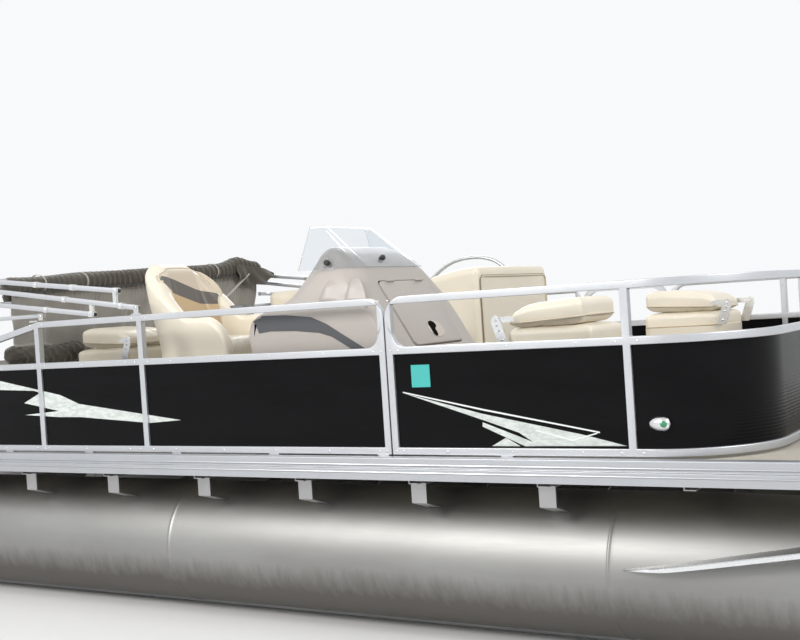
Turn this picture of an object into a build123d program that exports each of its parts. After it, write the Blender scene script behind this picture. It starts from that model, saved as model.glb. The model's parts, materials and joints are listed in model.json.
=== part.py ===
from build123d import *
from math import cos, radians, sin
import os

os.makedirs("parts", exist_ok=True)

# Pontoon boat, in millimetres: +X towards the bow, +Y to port, +Z up from the ground.
# A station is a length along the boat, counted from the deck's back edge.

# Hull
deck_length = 6400.0
deck_width = 2570.0
deck_top = 825.0
deck_board = 20.0
pitch = 609.6
tube_radius = 305.0
tube_spacing = 1750.0
tube_start = 60.0
nose_start = 5115.0
nose_tip = 6520.0
keel_height = 24.0
keel_width = 40.0
weld_bead = 3.0
trim_height = 100.0
trim_wall = 10.0
trim_lip = 48.0
trim_lip_height = 8.0
beam_height = 95.0
beam_width = 50.0
beam_wall = 5.0
bracket_width = 76.0
bracket_wall = 7.0

# Fence, heights above the top of the deck trim
rail = 32.0
fence_foot = 4.0
fence_inset = 50.0
fence_side = deck_width / 2 - fence_inset
bow_porch = 630.0
fence_front = deck_length - bow_porch
fence_back = 780.0
bow_radius = 420.0
stern_radius = 150.0
mid_rail_top = 470.0
top_rail_top = 688.0
rail_corner = 96.0
panel_wall = 6.0
spacer_length = 60.0
seam = 4176.0
seam_gap = 6.0
posts_starboard = (2000.0, 2737.0, 5274.0)
slope_end = 905.0
gate_gap = 16.0
side_gate = (4074.0, 4604.0)
bow_gate_half = 380.0
stern_gate_half = 330.0
hinge_radius = 6.0

# Furniture
console_x = (3345.0, 4420.0)
console_gap = 85.0
console_width = 750.0
console_y = (console_gap - fence_side, console_gap + console_width - fence_side)
console_wall = 10.0
helm_chair_at = (2800.0, (console_y[0] + console_y[1]) / 2 + 50.0)
fishing_chairs = (  # name, station, y, degrees that it faces, from +X
    ("starboard_bow_chair", 4806.0, 465.0 - fence_side, 0.0),
    ("port_bow_chair", 4972.0, fence_side - 615.0, 180.0),
    ("stern_chair", 2010.0, 645.0 - fence_side, 180.0),
)
chair_length = 500.0
chair_width = 430.0
seat_height = 470.0
lounge_x = (1530.0, 3830.0)
lounge_gap = 97.0
lounge_depth = 538.0
lounge_y = (fence_side - lounge_gap - lounge_depth, fence_side - lounge_gap)
lounge_back_from = 1790.0

# Stern drive
tilt_station = -340.0
tilt_height = 745.0
parked_tilt = 50.0
steer_offset = 120.0
prop_drop = 840.0
prop_radius = 172.0
prop_back = 560.0
motor_reach = 1046.15
stern_reach = tilt_station - motor_reach

# Boarding ladder, folded forward over the stern deck
ladder_in = 355.0
ladder_width = 340.0
ladder_y = (ladder_in - deck_width / 2, ladder_in + ladder_width - deck_width / 2)
ladder_hinge = (-45.0, 848.0)
ladder_length = 720.0
middle = (nose_tip + stern_reach) / 2
deck_surface = deck_top - trim_lip_height
tube_centre = keel_height + tube_radius
tube_y = tube_spacing / 2
trim_bottom = deck_top - trim_height
beam_top = deck_surface - deck_board
beam_bottom = beam_top - beam_height
half_width = deck_width / 2


def at(station):
    return station - middle


def save(part, name):
    part.label = name
    export_step(part, f"parts/{name}.step")


def box_between(x, y, z, mode=Mode.ADD):
    """A box from its three spans, in the row's own frame."""
    centre = ((x[0] + x[1]) / 2, (y[0] + y[1]) / 2, (z[0] + z[1]) / 2)
    with Locations(centre):
        Box(abs(x[1] - x[0]), abs(y[1] - y[0]), abs(z[1] - z[0]), mode=mode)


# Tubes: a round barrel in welded lengths, an upswept nose, a keel and a spray strake
nose_sections = (  # station, radius, rise of the centre
    (nose_start, tube_radius, 0.0),
    (5650.0, tube_radius - 1.0, 0.0),
    (5950.0, 288.0, 12.0),
    (6200.0, 235.0, 52.0),
    (6350.0, 165.0, 98.0),
    (nose_tip - 95.0, 80.0, 140.0),
)
nose_end = nose_sections[-1]
eye_bore = 14.0
eye_half = 5.0
eye_back = 30.0
eye_height = tube_centre + nose_end[2] + 10
strake_plan = ((0, 0), (0, 66), (220, 118), (820, 130), (1180, 40), (1180, 0))
weld_stations = (453.0, 2784.0, nose_start)
for side, name in ((-1, "starboard_tube"), (1, "port_tube")):
    y = side * tube_y
    with BuildPart() as tube:
        with BuildSketch(Plane.YZ.offset(at(tube_start))):
            with Locations((y, tube_centre)):
                Circle(tube_radius)
        extrude(amount=nose_start - tube_start)
        for station, radius, rise in nose_sections:
            with BuildSketch(Plane.YZ.offset(at(station))):
                with Locations((y, tube_centre + rise)):
                    Circle(radius)
        loft()
        with BuildSketch(Plane.YZ.offset(at(nose_end[0]))):
            with Locations((y, tube_centre + nose_end[2])):
                Circle(nose_end[1])
        extrude(amount=25, taper=60)
        for station in weld_stations:
            with BuildSketch(Plane.YZ.offset(at(station) - 5)):
                with Locations((y, tube_centre)):
                    Circle(tube_radius + weld_bead)
                    Circle(tube_radius - 10, mode=Mode.SUBTRACT)
            extrude(amount=10)
        box_between(
            (at(tube_start + 100), at(nose_start + 100)),
            (y - keel_width / 2, y + keel_width / 2),
            (0, keel_height + 40),
        )
        with BuildSketch(Plane.XZ.offset(-y)):
            with BuildLine():
                Polyline(
                    (at(nose_start + 60), 0),
                    (at(5720.0), 4),
                    (at(5980.0), 34),
                    (at(6220.0), 122),
                    (at(6390.0), 238),
                    (at(nose_end[0]), 372),
                    (at(nose_end[0]), 450),
                    (at(nose_start + 60), 200),
                    close=True,
                )
            make_face()
        extrude(amount=8, both=True)
        with BuildSketch(Plane.XZ.offset(-y - eye_half)):
            with Locations((at(nose_tip - 70), eye_height)):
                SlotOverall(140, 62)
            with Locations((at(nose_tip - eye_back), eye_height)):
                Circle(eye_bore, mode=Mode.SUBTRACT)
        extrude(amount=2 * eye_half)
        strake = Plane(
            origin=(at(5170.0), y + side * (tube_radius - 60), tube_centre + 45),
            x_dir=(cos(radians(9.5)), 0, sin(radians(9.5))),
            z_dir=(-sin(radians(9.5)), 0, cos(radians(9.5))),
        )
        with BuildSketch(strake):
            with BuildLine():
                Polyline(*[(step, side * out) for step, out in strake_plan], close=True)
            make_face()
        extrude(amount=8)
    save(tube.part, name)

# Riser brackets: upright legs at the trim's edge and within, with feet sloping in to each tube's shoulders
leg_out = 310.0
leg_foot = tube_centre + 283.0
foot_in = 170.0
foot_drop = 43.0
leg_profile_half = (  # from the tube's centre line, height
    (leg_out, beam_bottom),
    (leg_out, leg_foot),
    (foot_in, leg_foot - foot_drop),
    (foot_in, leg_foot - foot_drop + 8),
    (leg_out - bracket_wall, leg_foot + 7),
    (leg_out - bracket_wall, beam_bottom - bracket_wall),
)
riser_profile = leg_profile_half + tuple((-d, z) for d, z in reversed(leg_profile_half))
with BuildPart() as risers:
    for side in (-1, 1):
        y = side * tube_y
        for k in range(1, 9):
            with BuildSketch(Plane.YZ.offset(at(k * pitch) - bracket_width / 2)):
                with BuildLine():
                    Polyline(*[(y + d, z) for d, z in riser_profile], close=True)
                make_face()
                with Locations((y, tube_centre)):
                    Circle(tube_radius, mode=Mode.SUBTRACT)
            extrude(amount=bracket_width)
save(risers.part, "riser_brackets")

# Cross beams: open channels under the deck, one to each pitch and one at each end
beam_inset = 60.0
beam_half = deck_width / 2 - beam_inset
beam_stations = [60.0] + [k * pitch for k in range(1, 11)] + [deck_length - 60.0]
with BuildPart() as beams:
    for station in beam_stations:
        x = at(station)
        with BuildSketch(Plane.XZ.offset(-beam_half)):
            with Locations((x, (beam_top + beam_bottom) / 2)):
                Rectangle(beam_width, beam_height)
            with Locations((x + beam_wall, (beam_top + beam_bottom) / 2)):
                Rectangle(beam_width, beam_height - 2 * beam_wall, mode=Mode.SUBTRACT)
        extrude(amount=2 * beam_half)
save(beams.part, "cross_beams")

# Deck board and its trim
with BuildPart() as deck:
    box_between(
        (at(trim_wall), at(deck_length - trim_wall)),
        (-half_width + trim_wall, half_width - trim_wall),
        (beam_top, deck_surface),
    )
save(deck.part, "deck_board")


trim_points = (  # section of the deck trim: its outer face at 0, the deck towards -X of the sketch
    (-trim_lip, deck_surface),
    (-trim_lip, deck_top),
    (-4, deck_top),
    (0, deck_top - 4),
    (0, deck_top - 34),
    (-5, deck_top - 38),
    (-5, deck_top - 46),
    (0, deck_top - 50),
    (0, deck_top - 66),
    (-4, deck_top - 70),
    (-4, trim_bottom),
    (-30, trim_bottom),
    (-30, trim_bottom + 5),
    (-trim_wall, trim_bottom + 5),
    (-trim_wall, deck_surface),
)

with BuildPart() as trim:
    with BuildSketch(Plane((at(0), half_width, 0), x_dir=(0, 1, 0), z_dir=(1, 0, 0))):
        with BuildLine():
            Polyline(*trim_points, close=True)
        make_face()
    extrude(amount=deck_length)
    mirror(about=Plane.XZ)
    inner = half_width - trim_lip
    for station, facing in ((deck_length, 1), (0.0, -1)):
        end_plane = Plane((at(station), facing * inner, 0), x_dir=(facing, 0, 0), z_dir=(0, -facing, 0))
        with BuildSketch(end_plane):
            with BuildLine():
                Polyline(*trim_points, close=True)
            make_face()
        extrude(amount=2 * inner)
save(trim.part, "deck_trim")

# Motor pod: a box hung between the tubes, with the transom plate behind the deck
pod_half = 250.0
transom = (tilt_station + 40.0, tilt_station + 80.0)
transom_top = tilt_height - 20.0
pod_top = beam_bottom
with BuildPart() as pod:
    with BuildSketch(Plane.XZ.offset(-pod_half)):
        with BuildLine():
            Polyline(
                (at(transom[1]), pod_top),
                (at(950), pod_top),
                (at(950), pod_top - 30),
                (at(700), 430),
                (at(transom[1]), 430),
                close=True,
            )
        make_face()
    extrude(amount=2 * pod_half)
    box_between((at(transom[0]), at(transom[1])), (-pod_half, pod_half), (420, transom_top))
save(pod.part, "motor_pod")

# Fence walls: a band round the deck, opened into rails and posts
z_foot = deck_top + fence_foot
z_mid = deck_top + mid_rail_top
z_top = deck_top + top_rail_top
inner_corner = rail_corner - rail


def fence_plan(inset):
    """Plan of the fence line, drawn in by inset from its outer face."""
    with BuildSketch(Plane.XY) as plan:
        with Locations((at((fence_front + fence_back) / 2), 0)):
            Rectangle(fence_front - fence_back, 2 * fence_side)
        ends = plan.vertices().group_by(Axis.X)
        fillet(ends[-1], bow_radius)
        fillet(plan.vertices().group_by(Axis.X)[0], stern_radius)
        if inset:
            offset(amount=-inset, mode=Mode.REPLACE)
    return plan.sketch


outer_plan = fence_plan(0)
inner_plan = fence_plan(rail)
panel_outer = fence_plan((rail - panel_wall) / 2)
panel_inner = fence_plan((rail + panel_wall) / 2)


def opening(x, z, side, radius_left=0.0, radius_right=0.0):
    """Cuts a window through a side wall; the radii round its two top corners."""
    y = side * fence_side
    with BuildSketch(Plane.XZ.offset(-y)) as window:
        with Locations(((x[0] + x[1]) / 2, (z[0] + z[1]) / 2)):
            Rectangle(x[1] - x[0], z[1] - z[0])
        top = window.vertices().group_by(Axis.Z)[-1].sort_by(Axis.X)
        if radius_left:
            fillet(top[0], radius_left)
        if radius_right:
            top = window.vertices().group_by(Axis.Z)[-1].sort_by(Axis.X)
            fillet(top[-1], radius_right)
    extrude(window.sketch, amount=2 * rail, both=True, mode=Mode.SUBTRACT)


def fence_section(side, aft, fore):
    """One side's fence from its aft end to its fore end; 0 and 1 mean the stern and bow gates."""
    span_x = (at(aft) if aft else at(fence_back) - 50, at(fore) if fore else at(fence_front) + 50)
    y_in = stern_gate_half if not aft else bow_gate_half
    y_span = (side * y_in, side * (fence_side + 50)) if side > 0 else (side * (fence_side + 50), side * y_in)
    return span_x, y_span


def build_frame(side, aft, fore, posts):
    """Rails and posts; with no aft end it runs round the stern corner, with no fore end round the bow."""
    span_x, y_span = fence_section(side, aft, fore)
    x_low = at(aft) if aft else at(fence_back)
    x_high = at(fore) if fore else at(fence_front)
    with BuildPart() as frame:
        with BuildSketch(Plane.XY.offset(z_foot)):
            add(outer_plan)
            add(inner_plan, mode=Mode.SUBTRACT)
        extrude(amount=z_top - z_foot)
        box_between(span_x, y_span, (z_foot - 10, z_top + 10), mode=Mode.INTERSECT)
        across = frame.edges().filter_by(Axis.Y).group_by(Axis.Z)[-1]
        if fore:
            fillet(across.sort_by(Axis.X)[-1], rail_corner)
        if aft:
            across = frame.edges().filter_by(Axis.Y).group_by(Axis.Z)[-1]
            fillet(across.sort_by(Axis.X)[0], rail_corner)
        if not fore:
            along = frame.edges().filter_by(Axis.X).group_by(Axis.Z)[-1]
            bow_edge = along.filter_by_position(Axis.X, at(fence_front) - rail - 1, at(fence_front) + 1)
            fillet(bow_edge, rail_corner)
        # Windows below and above the mid rail, between the posts of the straight side
        stations = sorted(posts)
        first = at(aft) + rail if aft else None
        last = at(fore) - rail if fore else None
        cuts = []
        left = first
        for post in stations:
            if left is not None:
                cuts.append((left, at(post) - rail / 2))
            left = at(post) + rail / 2
        if last is not None:
            cuts.append((left, last))
            right_open = None
        else:
            right_open = left
        for x in cuts:
            end_left = inner_corner if aft and x[0] == first else 0.0
            end_right = inner_corner if fore and x[1] == last else 0.0
            opening(x, (z_foot + rail, z_mid - rail), side)
            opening(x, (z_mid, z_top - rail), side, end_left, end_right)
        if not aft:
            # Sloping stern rail, and everything above it cut away
            first_post = at(stations[0]) - rail / 2
            low = at(slope_end)
            with BuildSketch(Plane.XZ.offset(-side * fence_side)):
                with BuildLine():
                    Polyline(
                        (first_post + rail, z_top),
                        (first_post + rail, z_top + 60),
                        (at(fence_back) - 60, z_top + 60),
                        (at(fence_back) - 60, z_mid),
                        (low, z_mid),
                        close=True,
                    )
                make_face()
            extrude(amount=4 * fence_side, both=True, mode=Mode.SUBTRACT)
            with BuildSketch(Plane.XZ.offset(-side * fence_side)):
                with BuildLine():
                    slope = (z_top - z_mid) / (first_post + rail - low)
                    drop = rail * (1 + slope * slope) ** 0.5
                    tip = low + drop / slope
                    Polyline(
                        (first_post, z_mid),
                        (first_post, z_mid + (first_post - low) * slope - drop),
                        (tip, z_mid),
                        close=True,
                    )
                make_face()
            extrude(amount=2 * rail, both=True, mode=Mode.SUBTRACT)
            # Stern bay under the mid rail, round the corner to the gate post
            box_between(
                (at(fence_back) - 50, first_post),
                (side * (stern_gate_half + rail), side * (fence_side + 50)),
                (z_foot + rail, z_mid - rail),
                mode=Mode.SUBTRACT,
            )
        if right_open is not None:
            box_between(
                (right_open, at(fence_front) + 50),
                (side * (bow_gate_half + rail), side * (fence_side + 50)),
                (z_foot + rail, z_mid - rail),
                mode=Mode.SUBTRACT,
            )
            box_between(
                (right_open, at(fence_front) + 50),
                (side * (bow_gate_half + rail_corner), side * (fence_side + 50)),
                (z_mid, z_top - rail),
                mode=Mode.SUBTRACT,
            )
            with BuildSketch(Plane.YZ.offset(at(fence_front) + 20)) as corner:
                low_y = bow_gate_half + rail
                with Locations((side * (low_y + 100), (z_mid + z_top - rail) / 2)):
                    Rectangle(200, z_top - rail - z_mid)
                near = corner.vertices().group_by(Axis.Z)[-1].sort_by(Axis.Y)
                fillet(near[0] if side > 0 else near[-1], inner_corner)
            extrude(amount=-(rail + 60), mode=Mode.SUBTRACT)
        # Feet between the bottom rail and the deck
        foot_stations = [s for s in range(1100, 5300, 600)]
        for s in foot_stations:
            if (aft or 0) + 40 < s < (fore or 99999) - 40:
                y = side * (fence_side - rail / 2)
                box_between(
                    (at(s), at(s) + spacer_length),
                    (y - rail / 2, y + rail / 2),
                    (deck_surface, z_foot),
                )
    return frame.part


section_table = (  # node stem, side, aft end, fore end, posts
    ("starboard_aft_fence", -1, 0, seam - seam_gap / 2, (2000.0, 2737.0)),
    ("starboard_fore_fence", -1, seam + seam_gap / 2, 0, (5274.0,)),
    ("port_aft_fence", 1, 0, side_gate[0] - gate_gap, (2000.0, 2737.0)),
    ("port_fore_fence", 1, side_gate[1] + gate_gap, 0, (5274.0,)),
)
for stem, side, aft, fore, posts in section_table:
    save(build_frame(side, aft, fore, posts), stem)

# Panels: thin skins in the middle of the frames, below the mid rail
for name, side in (("starboard_panels", -1), ("port_panels", 1)):
    keep = []
    for stem, which, aft, fore, posts in section_table:
        if which != side:
            continue
        left = at(aft) + rail if aft else None
        for post in posts:
            keep.append((left, at(post) - rail / 2))
            left = at(post) + rail / 2
        keep.append((left, at(fore) - rail if fore else None))
    with BuildPart() as region:
        for low, high in keep:
            near = side * ((stern_gate_half if low is None else bow_gate_half) + rail)
            if low is not None and high is not None:
                near = side * (fence_side - 2 * rail)
            box_between(
                (at(fence_back) - 50 if low is None else low, at(fence_front) + 50 if high is None else high),
                (near, side * (fence_side + 50)),
                (z_foot, z_mid),
            )
    with BuildPart() as panels:
        with BuildSketch(Plane.XY.offset(z_foot + rail)):
            add(panel_outer)
            add(panel_inner, mode=Mode.SUBTRACT)
        extrude(amount=z_mid - 2 * rail - z_foot)
        add(region.part, mode=Mode.INTERSECT)
    save(panels.part, name)


# Gates: square-tube leaves with rounded top corners, a mid rail and a skin below it
def gate_leaf(width):
    """Gate in its own plane: X along the leaf from its hinge edge, Y its thickness, Z from the trim top."""
    low, middle_top, top = fence_foot + 8, mid_rail_top, top_rail_top
    with BuildPart() as leaf:
        box_between((0, width), (0, rail), (low, top))
        fillet(leaf.edges().filter_by(Axis.Y).group_by(Axis.Z)[-1], rail_corner)
        skin = (low + rail, middle_top - rail)
        box_between((rail, width - rail), (-1, (rail - panel_wall) / 2), skin, mode=Mode.SUBTRACT)
        box_between((rail, width - rail), ((rail + panel_wall) / 2, rail + 1), skin, mode=Mode.SUBTRACT)
        with BuildSketch(Plane.XZ) as window:
            with Locations((width / 2, (middle_top + top - rail) / 2)):
                Rectangle(width - 2 * rail, top - rail - middle_top)
            fillet(window.vertices().group_by(Axis.Y)[-1], inner_corner)
        extrude(amount=2 * rail, both=True, mode=Mode.SUBTRACT)
        for z in (120.0, 400.0):
            with Locations((-gate_gap / 2, 0, z)):
                Cylinder(hinge_radius, 60)
            box_between((-gate_gap / 2, 2), (-2, 3), (z - 25, z + 25))
    return leaf.part


side_leaf = side_gate[1] - side_gate[0]
side_hinge = (at(side_gate[0]) - gate_gap / 2, fence_side - rail)
with BuildPart() as gate:
    add(gate_leaf(side_leaf).moved(Location((at(side_gate[0]), fence_side - rail, deck_top))))
save(gate.part, "side_gate")

bow_leaf = 2 * (bow_gate_half - gate_gap)
bow_hinge = (at(fence_front) - rail, -(bow_gate_half - gate_gap / 2))
with BuildPart() as gate:
    turned = mirror(gate_leaf(bow_leaf), about=Plane.XZ, mode=Mode.PRIVATE)
    add(turned.moved(Location((at(fence_front) - rail, -(bow_gate_half - gate_gap), deck_top), (0, 0, 90))))
save(gate.part, "bow_gate")

stern_leaf = 2 * (stern_gate_half - gate_gap)
stern_hinge = (at(fence_back) + rail, -(stern_gate_half - gate_gap / 2))
with BuildPart() as gate:
    leaf = gate_leaf(stern_leaf)
    add(leaf.moved(Location((at(fence_back) + rail, -(stern_gate_half - gate_gap), deck_top), (0, 0, 90))))
save(gate.part, "stern_gate")

# Console: a hollow moulding open at the bottom, rounded shoulders, its forward face sloping to the deck
slope_foot = (4420.0, 60.0)
slope_low = (4190.0, 440.0)
slope_run = (slope_foot[0] - slope_low[0]) / (slope_foot[1] - slope_low[1])


def slope_at(height):
    """Station of the sloping face at a height above the trim top."""
    return slope_low[0] + (height - slope_low[1]) * slope_run


console_sections = (  # height, aft, fore, starboard, port, corner radius
    (-trim_lip_height, console_x[0], slope_foot[0], console_y[0], console_y[1], 40.0),
    (slope_foot[1], console_x[0] + 1, slope_foot[0], console_y[0], console_y[1], 40.0),
    (slope_low[1], console_x[0] + 6, slope_low[0], console_y[0], console_y[1], 40.0),
    (620.0, console_x[0] + 20, slope_at(620.0), console_y[0], console_y[1], 50.0),
    (655.0, console_x[0] + 75, slope_at(655.0), console_y[0] + 5, console_y[1], 58.0),
    (700.0, console_x[0] + 205, slope_at(700.0), console_y[0] + 15, console_y[1], 70.0),
    (760.0, console_x[0] + 265, slope_at(760.0), console_y[0] + 28, console_y[1] - 12, 90.0),
    (830.0, console_x[0] + 310, slope_at(830.0), console_y[0] + 55, console_y[1] - 35, 110.0),
    (900.0, console_x[0] + 360, console_x[0] + 505, console_y[0] + 95, console_y[1] - 75, 68.0),
    (940.0, console_x[0] + 370, console_x[0] + 445, console_y[0] + 165, console_y[1] - 145, 36.0),
)
door_span = (console_y[0] + 165, console_y[1] - 135)


def console_rings(inset, low, high):
    """Rounded sections of the console, drawn in by an inset, between a lowest and a highest height."""
    rings = []
    for height, aft, fore, starboard, port, radius in console_sections:
        level = min(max(height, low), high)
        with BuildSketch(Plane.XY.offset(deck_top + level)) as ring:
            with Locations((at((aft + fore) / 2), (starboard + port) / 2)):
                RectangleRounded(fore - aft - 2 * inset, port - starboard - 2 * inset, radius - inset)
        rings.append(ring.sketch)
    return rings


with BuildPart() as console:
    loft(console_rings(0.0, -trim_lip_height, 940.0), ruled=True)
    hollow = console_rings(console_wall, -trim_lip_height - 1, 940.0 - console_wall)
    loft(hollow, ruled=True, mode=Mode.SUBTRACT)
slope_x = slope_foot[0] - slope_low[0]
slope_z = slope_foot[1] - slope_low[1]
slope_length = (slope_x**2 + slope_z**2) ** 0.5
along = (slope_x / slope_length, 0, slope_z / slope_length)
outward = (-slope_z / slope_length, 0, slope_x / slope_length)
door_plane = Plane(
    origin=(at(slope_low[0]), (door_span[0] + door_span[1]) / 2, deck_top + slope_low[1]),
    x_dir=along,
    z_dir=outward,
)
door_width = door_span[1] - door_span[0]
door_length = 365.0
door_start = -385.0
door_hinge_rise = 12.0
door_hinge_radius = 5.0
latch_in = 75.0
latch_y = 28.0
with BuildPart() as cut:
    with BuildSketch(door_plane.offset(-2 * console_wall)):
        with Locations((door_start + door_length / 2, 0)):
            RectangleRounded(door_length, door_width, 30)
    extrude(amount=4 * console_wall)
save(console.part - cut.part, "console_shell")

with BuildPart() as door:
    with BuildSketch(door_plane.offset(-8)):
        with Locations((door_start + door_length / 2, 0)):
            RectangleRounded(door_length - 12, door_width - 12, 26)
    extrude(amount=16)
    with BuildSketch(door_plane.offset(8)):
        with Locations((door_start + door_length - latch_in, latch_y)):
            RectangleRounded(72, 100, 30)
    extrude(amount=5)
    hinge_line = door_plane.offset(door_hinge_rise)
    for spot in (-130, 130):
        with Locations(hinge_line.location * Location((door_start + 10, spot, 0), (90, 0, 0))):
            Cylinder(door_hinge_radius, 70)
save(door.part, "console_door")

# Windscreen: a clear sheet wrapped round the hood's forward rim and raked aft
# height, aft end, station of the corner arcs' middle, their radius, half the gap between them
screen_foot = (835.0, console_x[0] + 295, console_x[0] + 495, 118.0, 220.0)
screen_top = (1045.0, console_x[0] + 305, console_x[0] + 317, 50.0, 185.0)
screen_middle = (console_y[0] + console_y[1]) / 2 + 10
screen_wall = 5.0


def screen_ring(row):
    """A U of sheet in plan: two sides and a front with rounded corners, as a closed thin polygon."""
    height, aft, centre, radius, half = row
    edges = []
    for r in (radius + 1.5, radius - 3.5):
        bend = [(centre + r * sin(radians(a)), half + r * cos(radians(a))) for a in (0, 30, 60, 90)]
        half_edge = [(aft, half + r)] + bend
        edges.append([(x, -y) for x, y in half_edge] + [(x, y) for x, y in reversed(half_edge)])
    outline = edges[0] + edges[1][::-1]
    with BuildSketch(Plane.XY.offset(deck_top + height)) as ring:
        with BuildLine():
            Polyline(*[(at(x), screen_middle + y) for x, y in outline], close=True)
        make_face()
    return ring.sketch


with BuildPart() as screen:
    loft([screen_ring(screen_foot), screen_ring(screen_top)], ruled=True)
save(screen.part, "windscreen")

# Steering wheel on a short shaft out of the dash
wheel_tilt = 30.0
wheel_hub = (at(console_x[0] - 75.0), helm_chair_at[1], deck_top + 540.0)
wheel_axis = (-cos(radians(wheel_tilt)), 0, sin(radians(wheel_tilt)))
wheel_plane = Plane(origin=wheel_hub, x_dir=(0, 1, 0), z_dir=wheel_axis)
with BuildPart() as wheel:
    with Locations(Location(wheel_plane)):
        Torus(165, 13)
        Cylinder(40, 24)
        for spoke in (90, 210, 330):
            with Locations(Location((0, 0, 0), (0, 0, spoke))):
                with Locations((95, 0, 0)):
                    Box(140, 26, 10)
        with Locations((0, 0, -47)):
            Cylinder(14, 70)
save(wheel.part, "steering_wheel")

# Chair pedestals, bolted to the deck: post, base flange and the fixed half of the swivel
helm_top = deck_top + 395.0
fishing_top = deck_top + 360.0
chair_spots = [(helm_chair_at, helm_top)] + [((s, y), fishing_top) for _, s, y, _ in fishing_chairs]
with BuildPart() as pedestals:
    for (station, y), top in chair_spots:
        with Locations((at(station), y, deck_surface + 5)):
            Cylinder(115, 10)
        with Locations((at(station), y, (deck_surface + 10 + top) / 2)):
            Cylinder(36, top - deck_surface - 10)
        with Locations((at(station), y, top - 6)):
            Box(180, 180, 12)
save(pedestals.part, "chair_pedestals")

# Helm chair: a swivelling bucket, its back stacked from rounded sections, with padded arms
chair_back_sections = (  # height above the swivel, back, front, half width, corner radius
    (20.0, -250.0, -120.0, 225.0, 55.0),
    (150.0, -300.0, -165.0, 240.0, 60.0),
    (330.0, -335.0, -205.0, 240.0, 60.0),
    (480.0, -345.0, -225.0, 215.0, 55.0),
    (545.0, -340.0, -235.0, 180.0, 48.0),
    (565.0, -325.0, -255.0, 140.0, 32.0),
)
with BuildPart() as chair:
    base = helm_top + 1
    x, y = at(helm_chair_at[0]), helm_chair_at[1]
    box_between((x - 90, x + 90), (y - 90, y + 90), (base, base + 21))
    for low, high, inset in ((20, 50, 25.0), (50, 105, 0.0), (105, 130, 25.0)):
        with BuildSketch(Plane.XY.offset(base + low)):
            with Locations((x + 10, y)):
                RectangleRounded(520 - 2 * inset, 500 - 2 * inset, 60 - inset / 2)
        extrude(amount=high - low)
    for height, back_x, front_x, half, radius in chair_back_sections:
        with BuildSketch(Plane.XY.offset(base + height)):
            with Locations((x + (back_x + front_x) / 2, y)):
                RectangleRounded(front_x - back_x, 2 * half, radius)
    loft(ruled=True)
    for arm in (-255, 195):
        with BuildSketch(Plane.XZ.offset(-(y + arm))):
            with Locations((x + 10, base + 150)):
                RectangleRounded(440, 210, 85)
        extrude(amount=-60)
save(chair.part, "helm_chair")

# Fishing chairs: a moulded seat with hinge plates at its rear, and a back folded down on it
seat_z = deck_top + seat_height
hinge_back = -chair_length / 2 + 20
hinge_z = seat_z + 75
chair_back_profile = (  # folded down: length from the chair's middle, height above the seat
    (hinge_back, 60.0),
    (-120.0, 56.0),
    (40.0, 58.0),
    (190.0, 64.0),
    (232.0, 80.0),
    (245.0, 112.0),
    (236.0, 144.0),
    (205.0, 157.0),
    (60.0, 152.0),
    (-90.0, 143.0),
    (-180.0, 122.0),
    (hinge_back, 92.0),
)
for name, station, y, facing in fishing_chairs:
    place = Location((at(station), y, 0), (0, 0, facing))
    base = fishing_top + 1
    with BuildPart() as seat:
        with Locations((0, 0, base + 10)):
            Box(180, 180, 20)
        with Locations((15, 0, (base + 20 + seat_z + 40) / 2)):
            Box(chair_length - 40, chair_width, seat_z + 40 - base - 20)
        for side in (-1, 1):
            with Locations((-chair_length / 2 + 15, side * (chair_width / 2 + 5), seat_z + 45)):
                Box(70, 5, 150)
            with Locations((-chair_length / 2 + 30, side * (chair_width / 2 + 1), seat_z)):
                Box(60, 6, 60)
    save(seat.part.moved(place), f"{name}_seat")
    with BuildPart() as back:
        with BuildSketch(Plane.XZ.offset(-(chair_width / 2 - 5))):
            with BuildLine():
                Polyline(*[(px, seat_z + pz) for px, pz in chair_back_profile], close=True)
            make_face()
        extrude(amount=chair_width - 10)
        with Locations(Location((hinge_back, 0, hinge_z), (90, 0, 0))):
            Cylinder(8, chair_width - 2)
    save(back.part.moved(place), f"{name}_back")

# Port lounge: a base, two seat cushions, a low back along the fence and a tall end back
lounge_end = 300.0
end_back_front = 3873.0
end_back_reach = 355.0
end_back_top = 842.0
lounge_base_top = deck_top + 330.0
with BuildPart() as base:
    box_between((at(lounge_x[0]), at(lounge_x[1])), lounge_y, (deck_surface, lounge_base_top))
    fillet(base.edges().filter_by(Axis.Z), 30)
save(base.part, "lounge_base")
cushion_gap = 3.0
seat_end = lounge_x[1] - lounge_end
split = (lounge_x[0] + seat_end) / 2
with BuildPart() as seats:
    for low, high in ((lounge_x[0], split - cushion_gap), (split + cushion_gap, seat_end - cushion_gap)):
        box_between(
            (at(low), at(high)),
            (lounge_y[0] - 10, lounge_y[1] - 143),
            (lounge_base_top + 0.5, deck_top + 465),
        )
save(seats.part, "lounge_seats")
with BuildPart() as back:
    box_between(
        (at(lounge_back_from), at(seat_end - cushion_gap)),
        (lounge_y[1] - 140, lounge_y[1]),
        (lounge_base_top + 0.5, deck_top + 810),
    )
save(back.part, "lounge_back")
with BuildPart() as end_back:
    box_between(
        (at(seat_end), at(end_back_front)),
        (lounge_y[0] - end_back_reach, lounge_y[1]),
        (lounge_base_top + 0.5, deck_top + end_back_top),
    )
save(end_back.part, "lounge_end_back")

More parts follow.
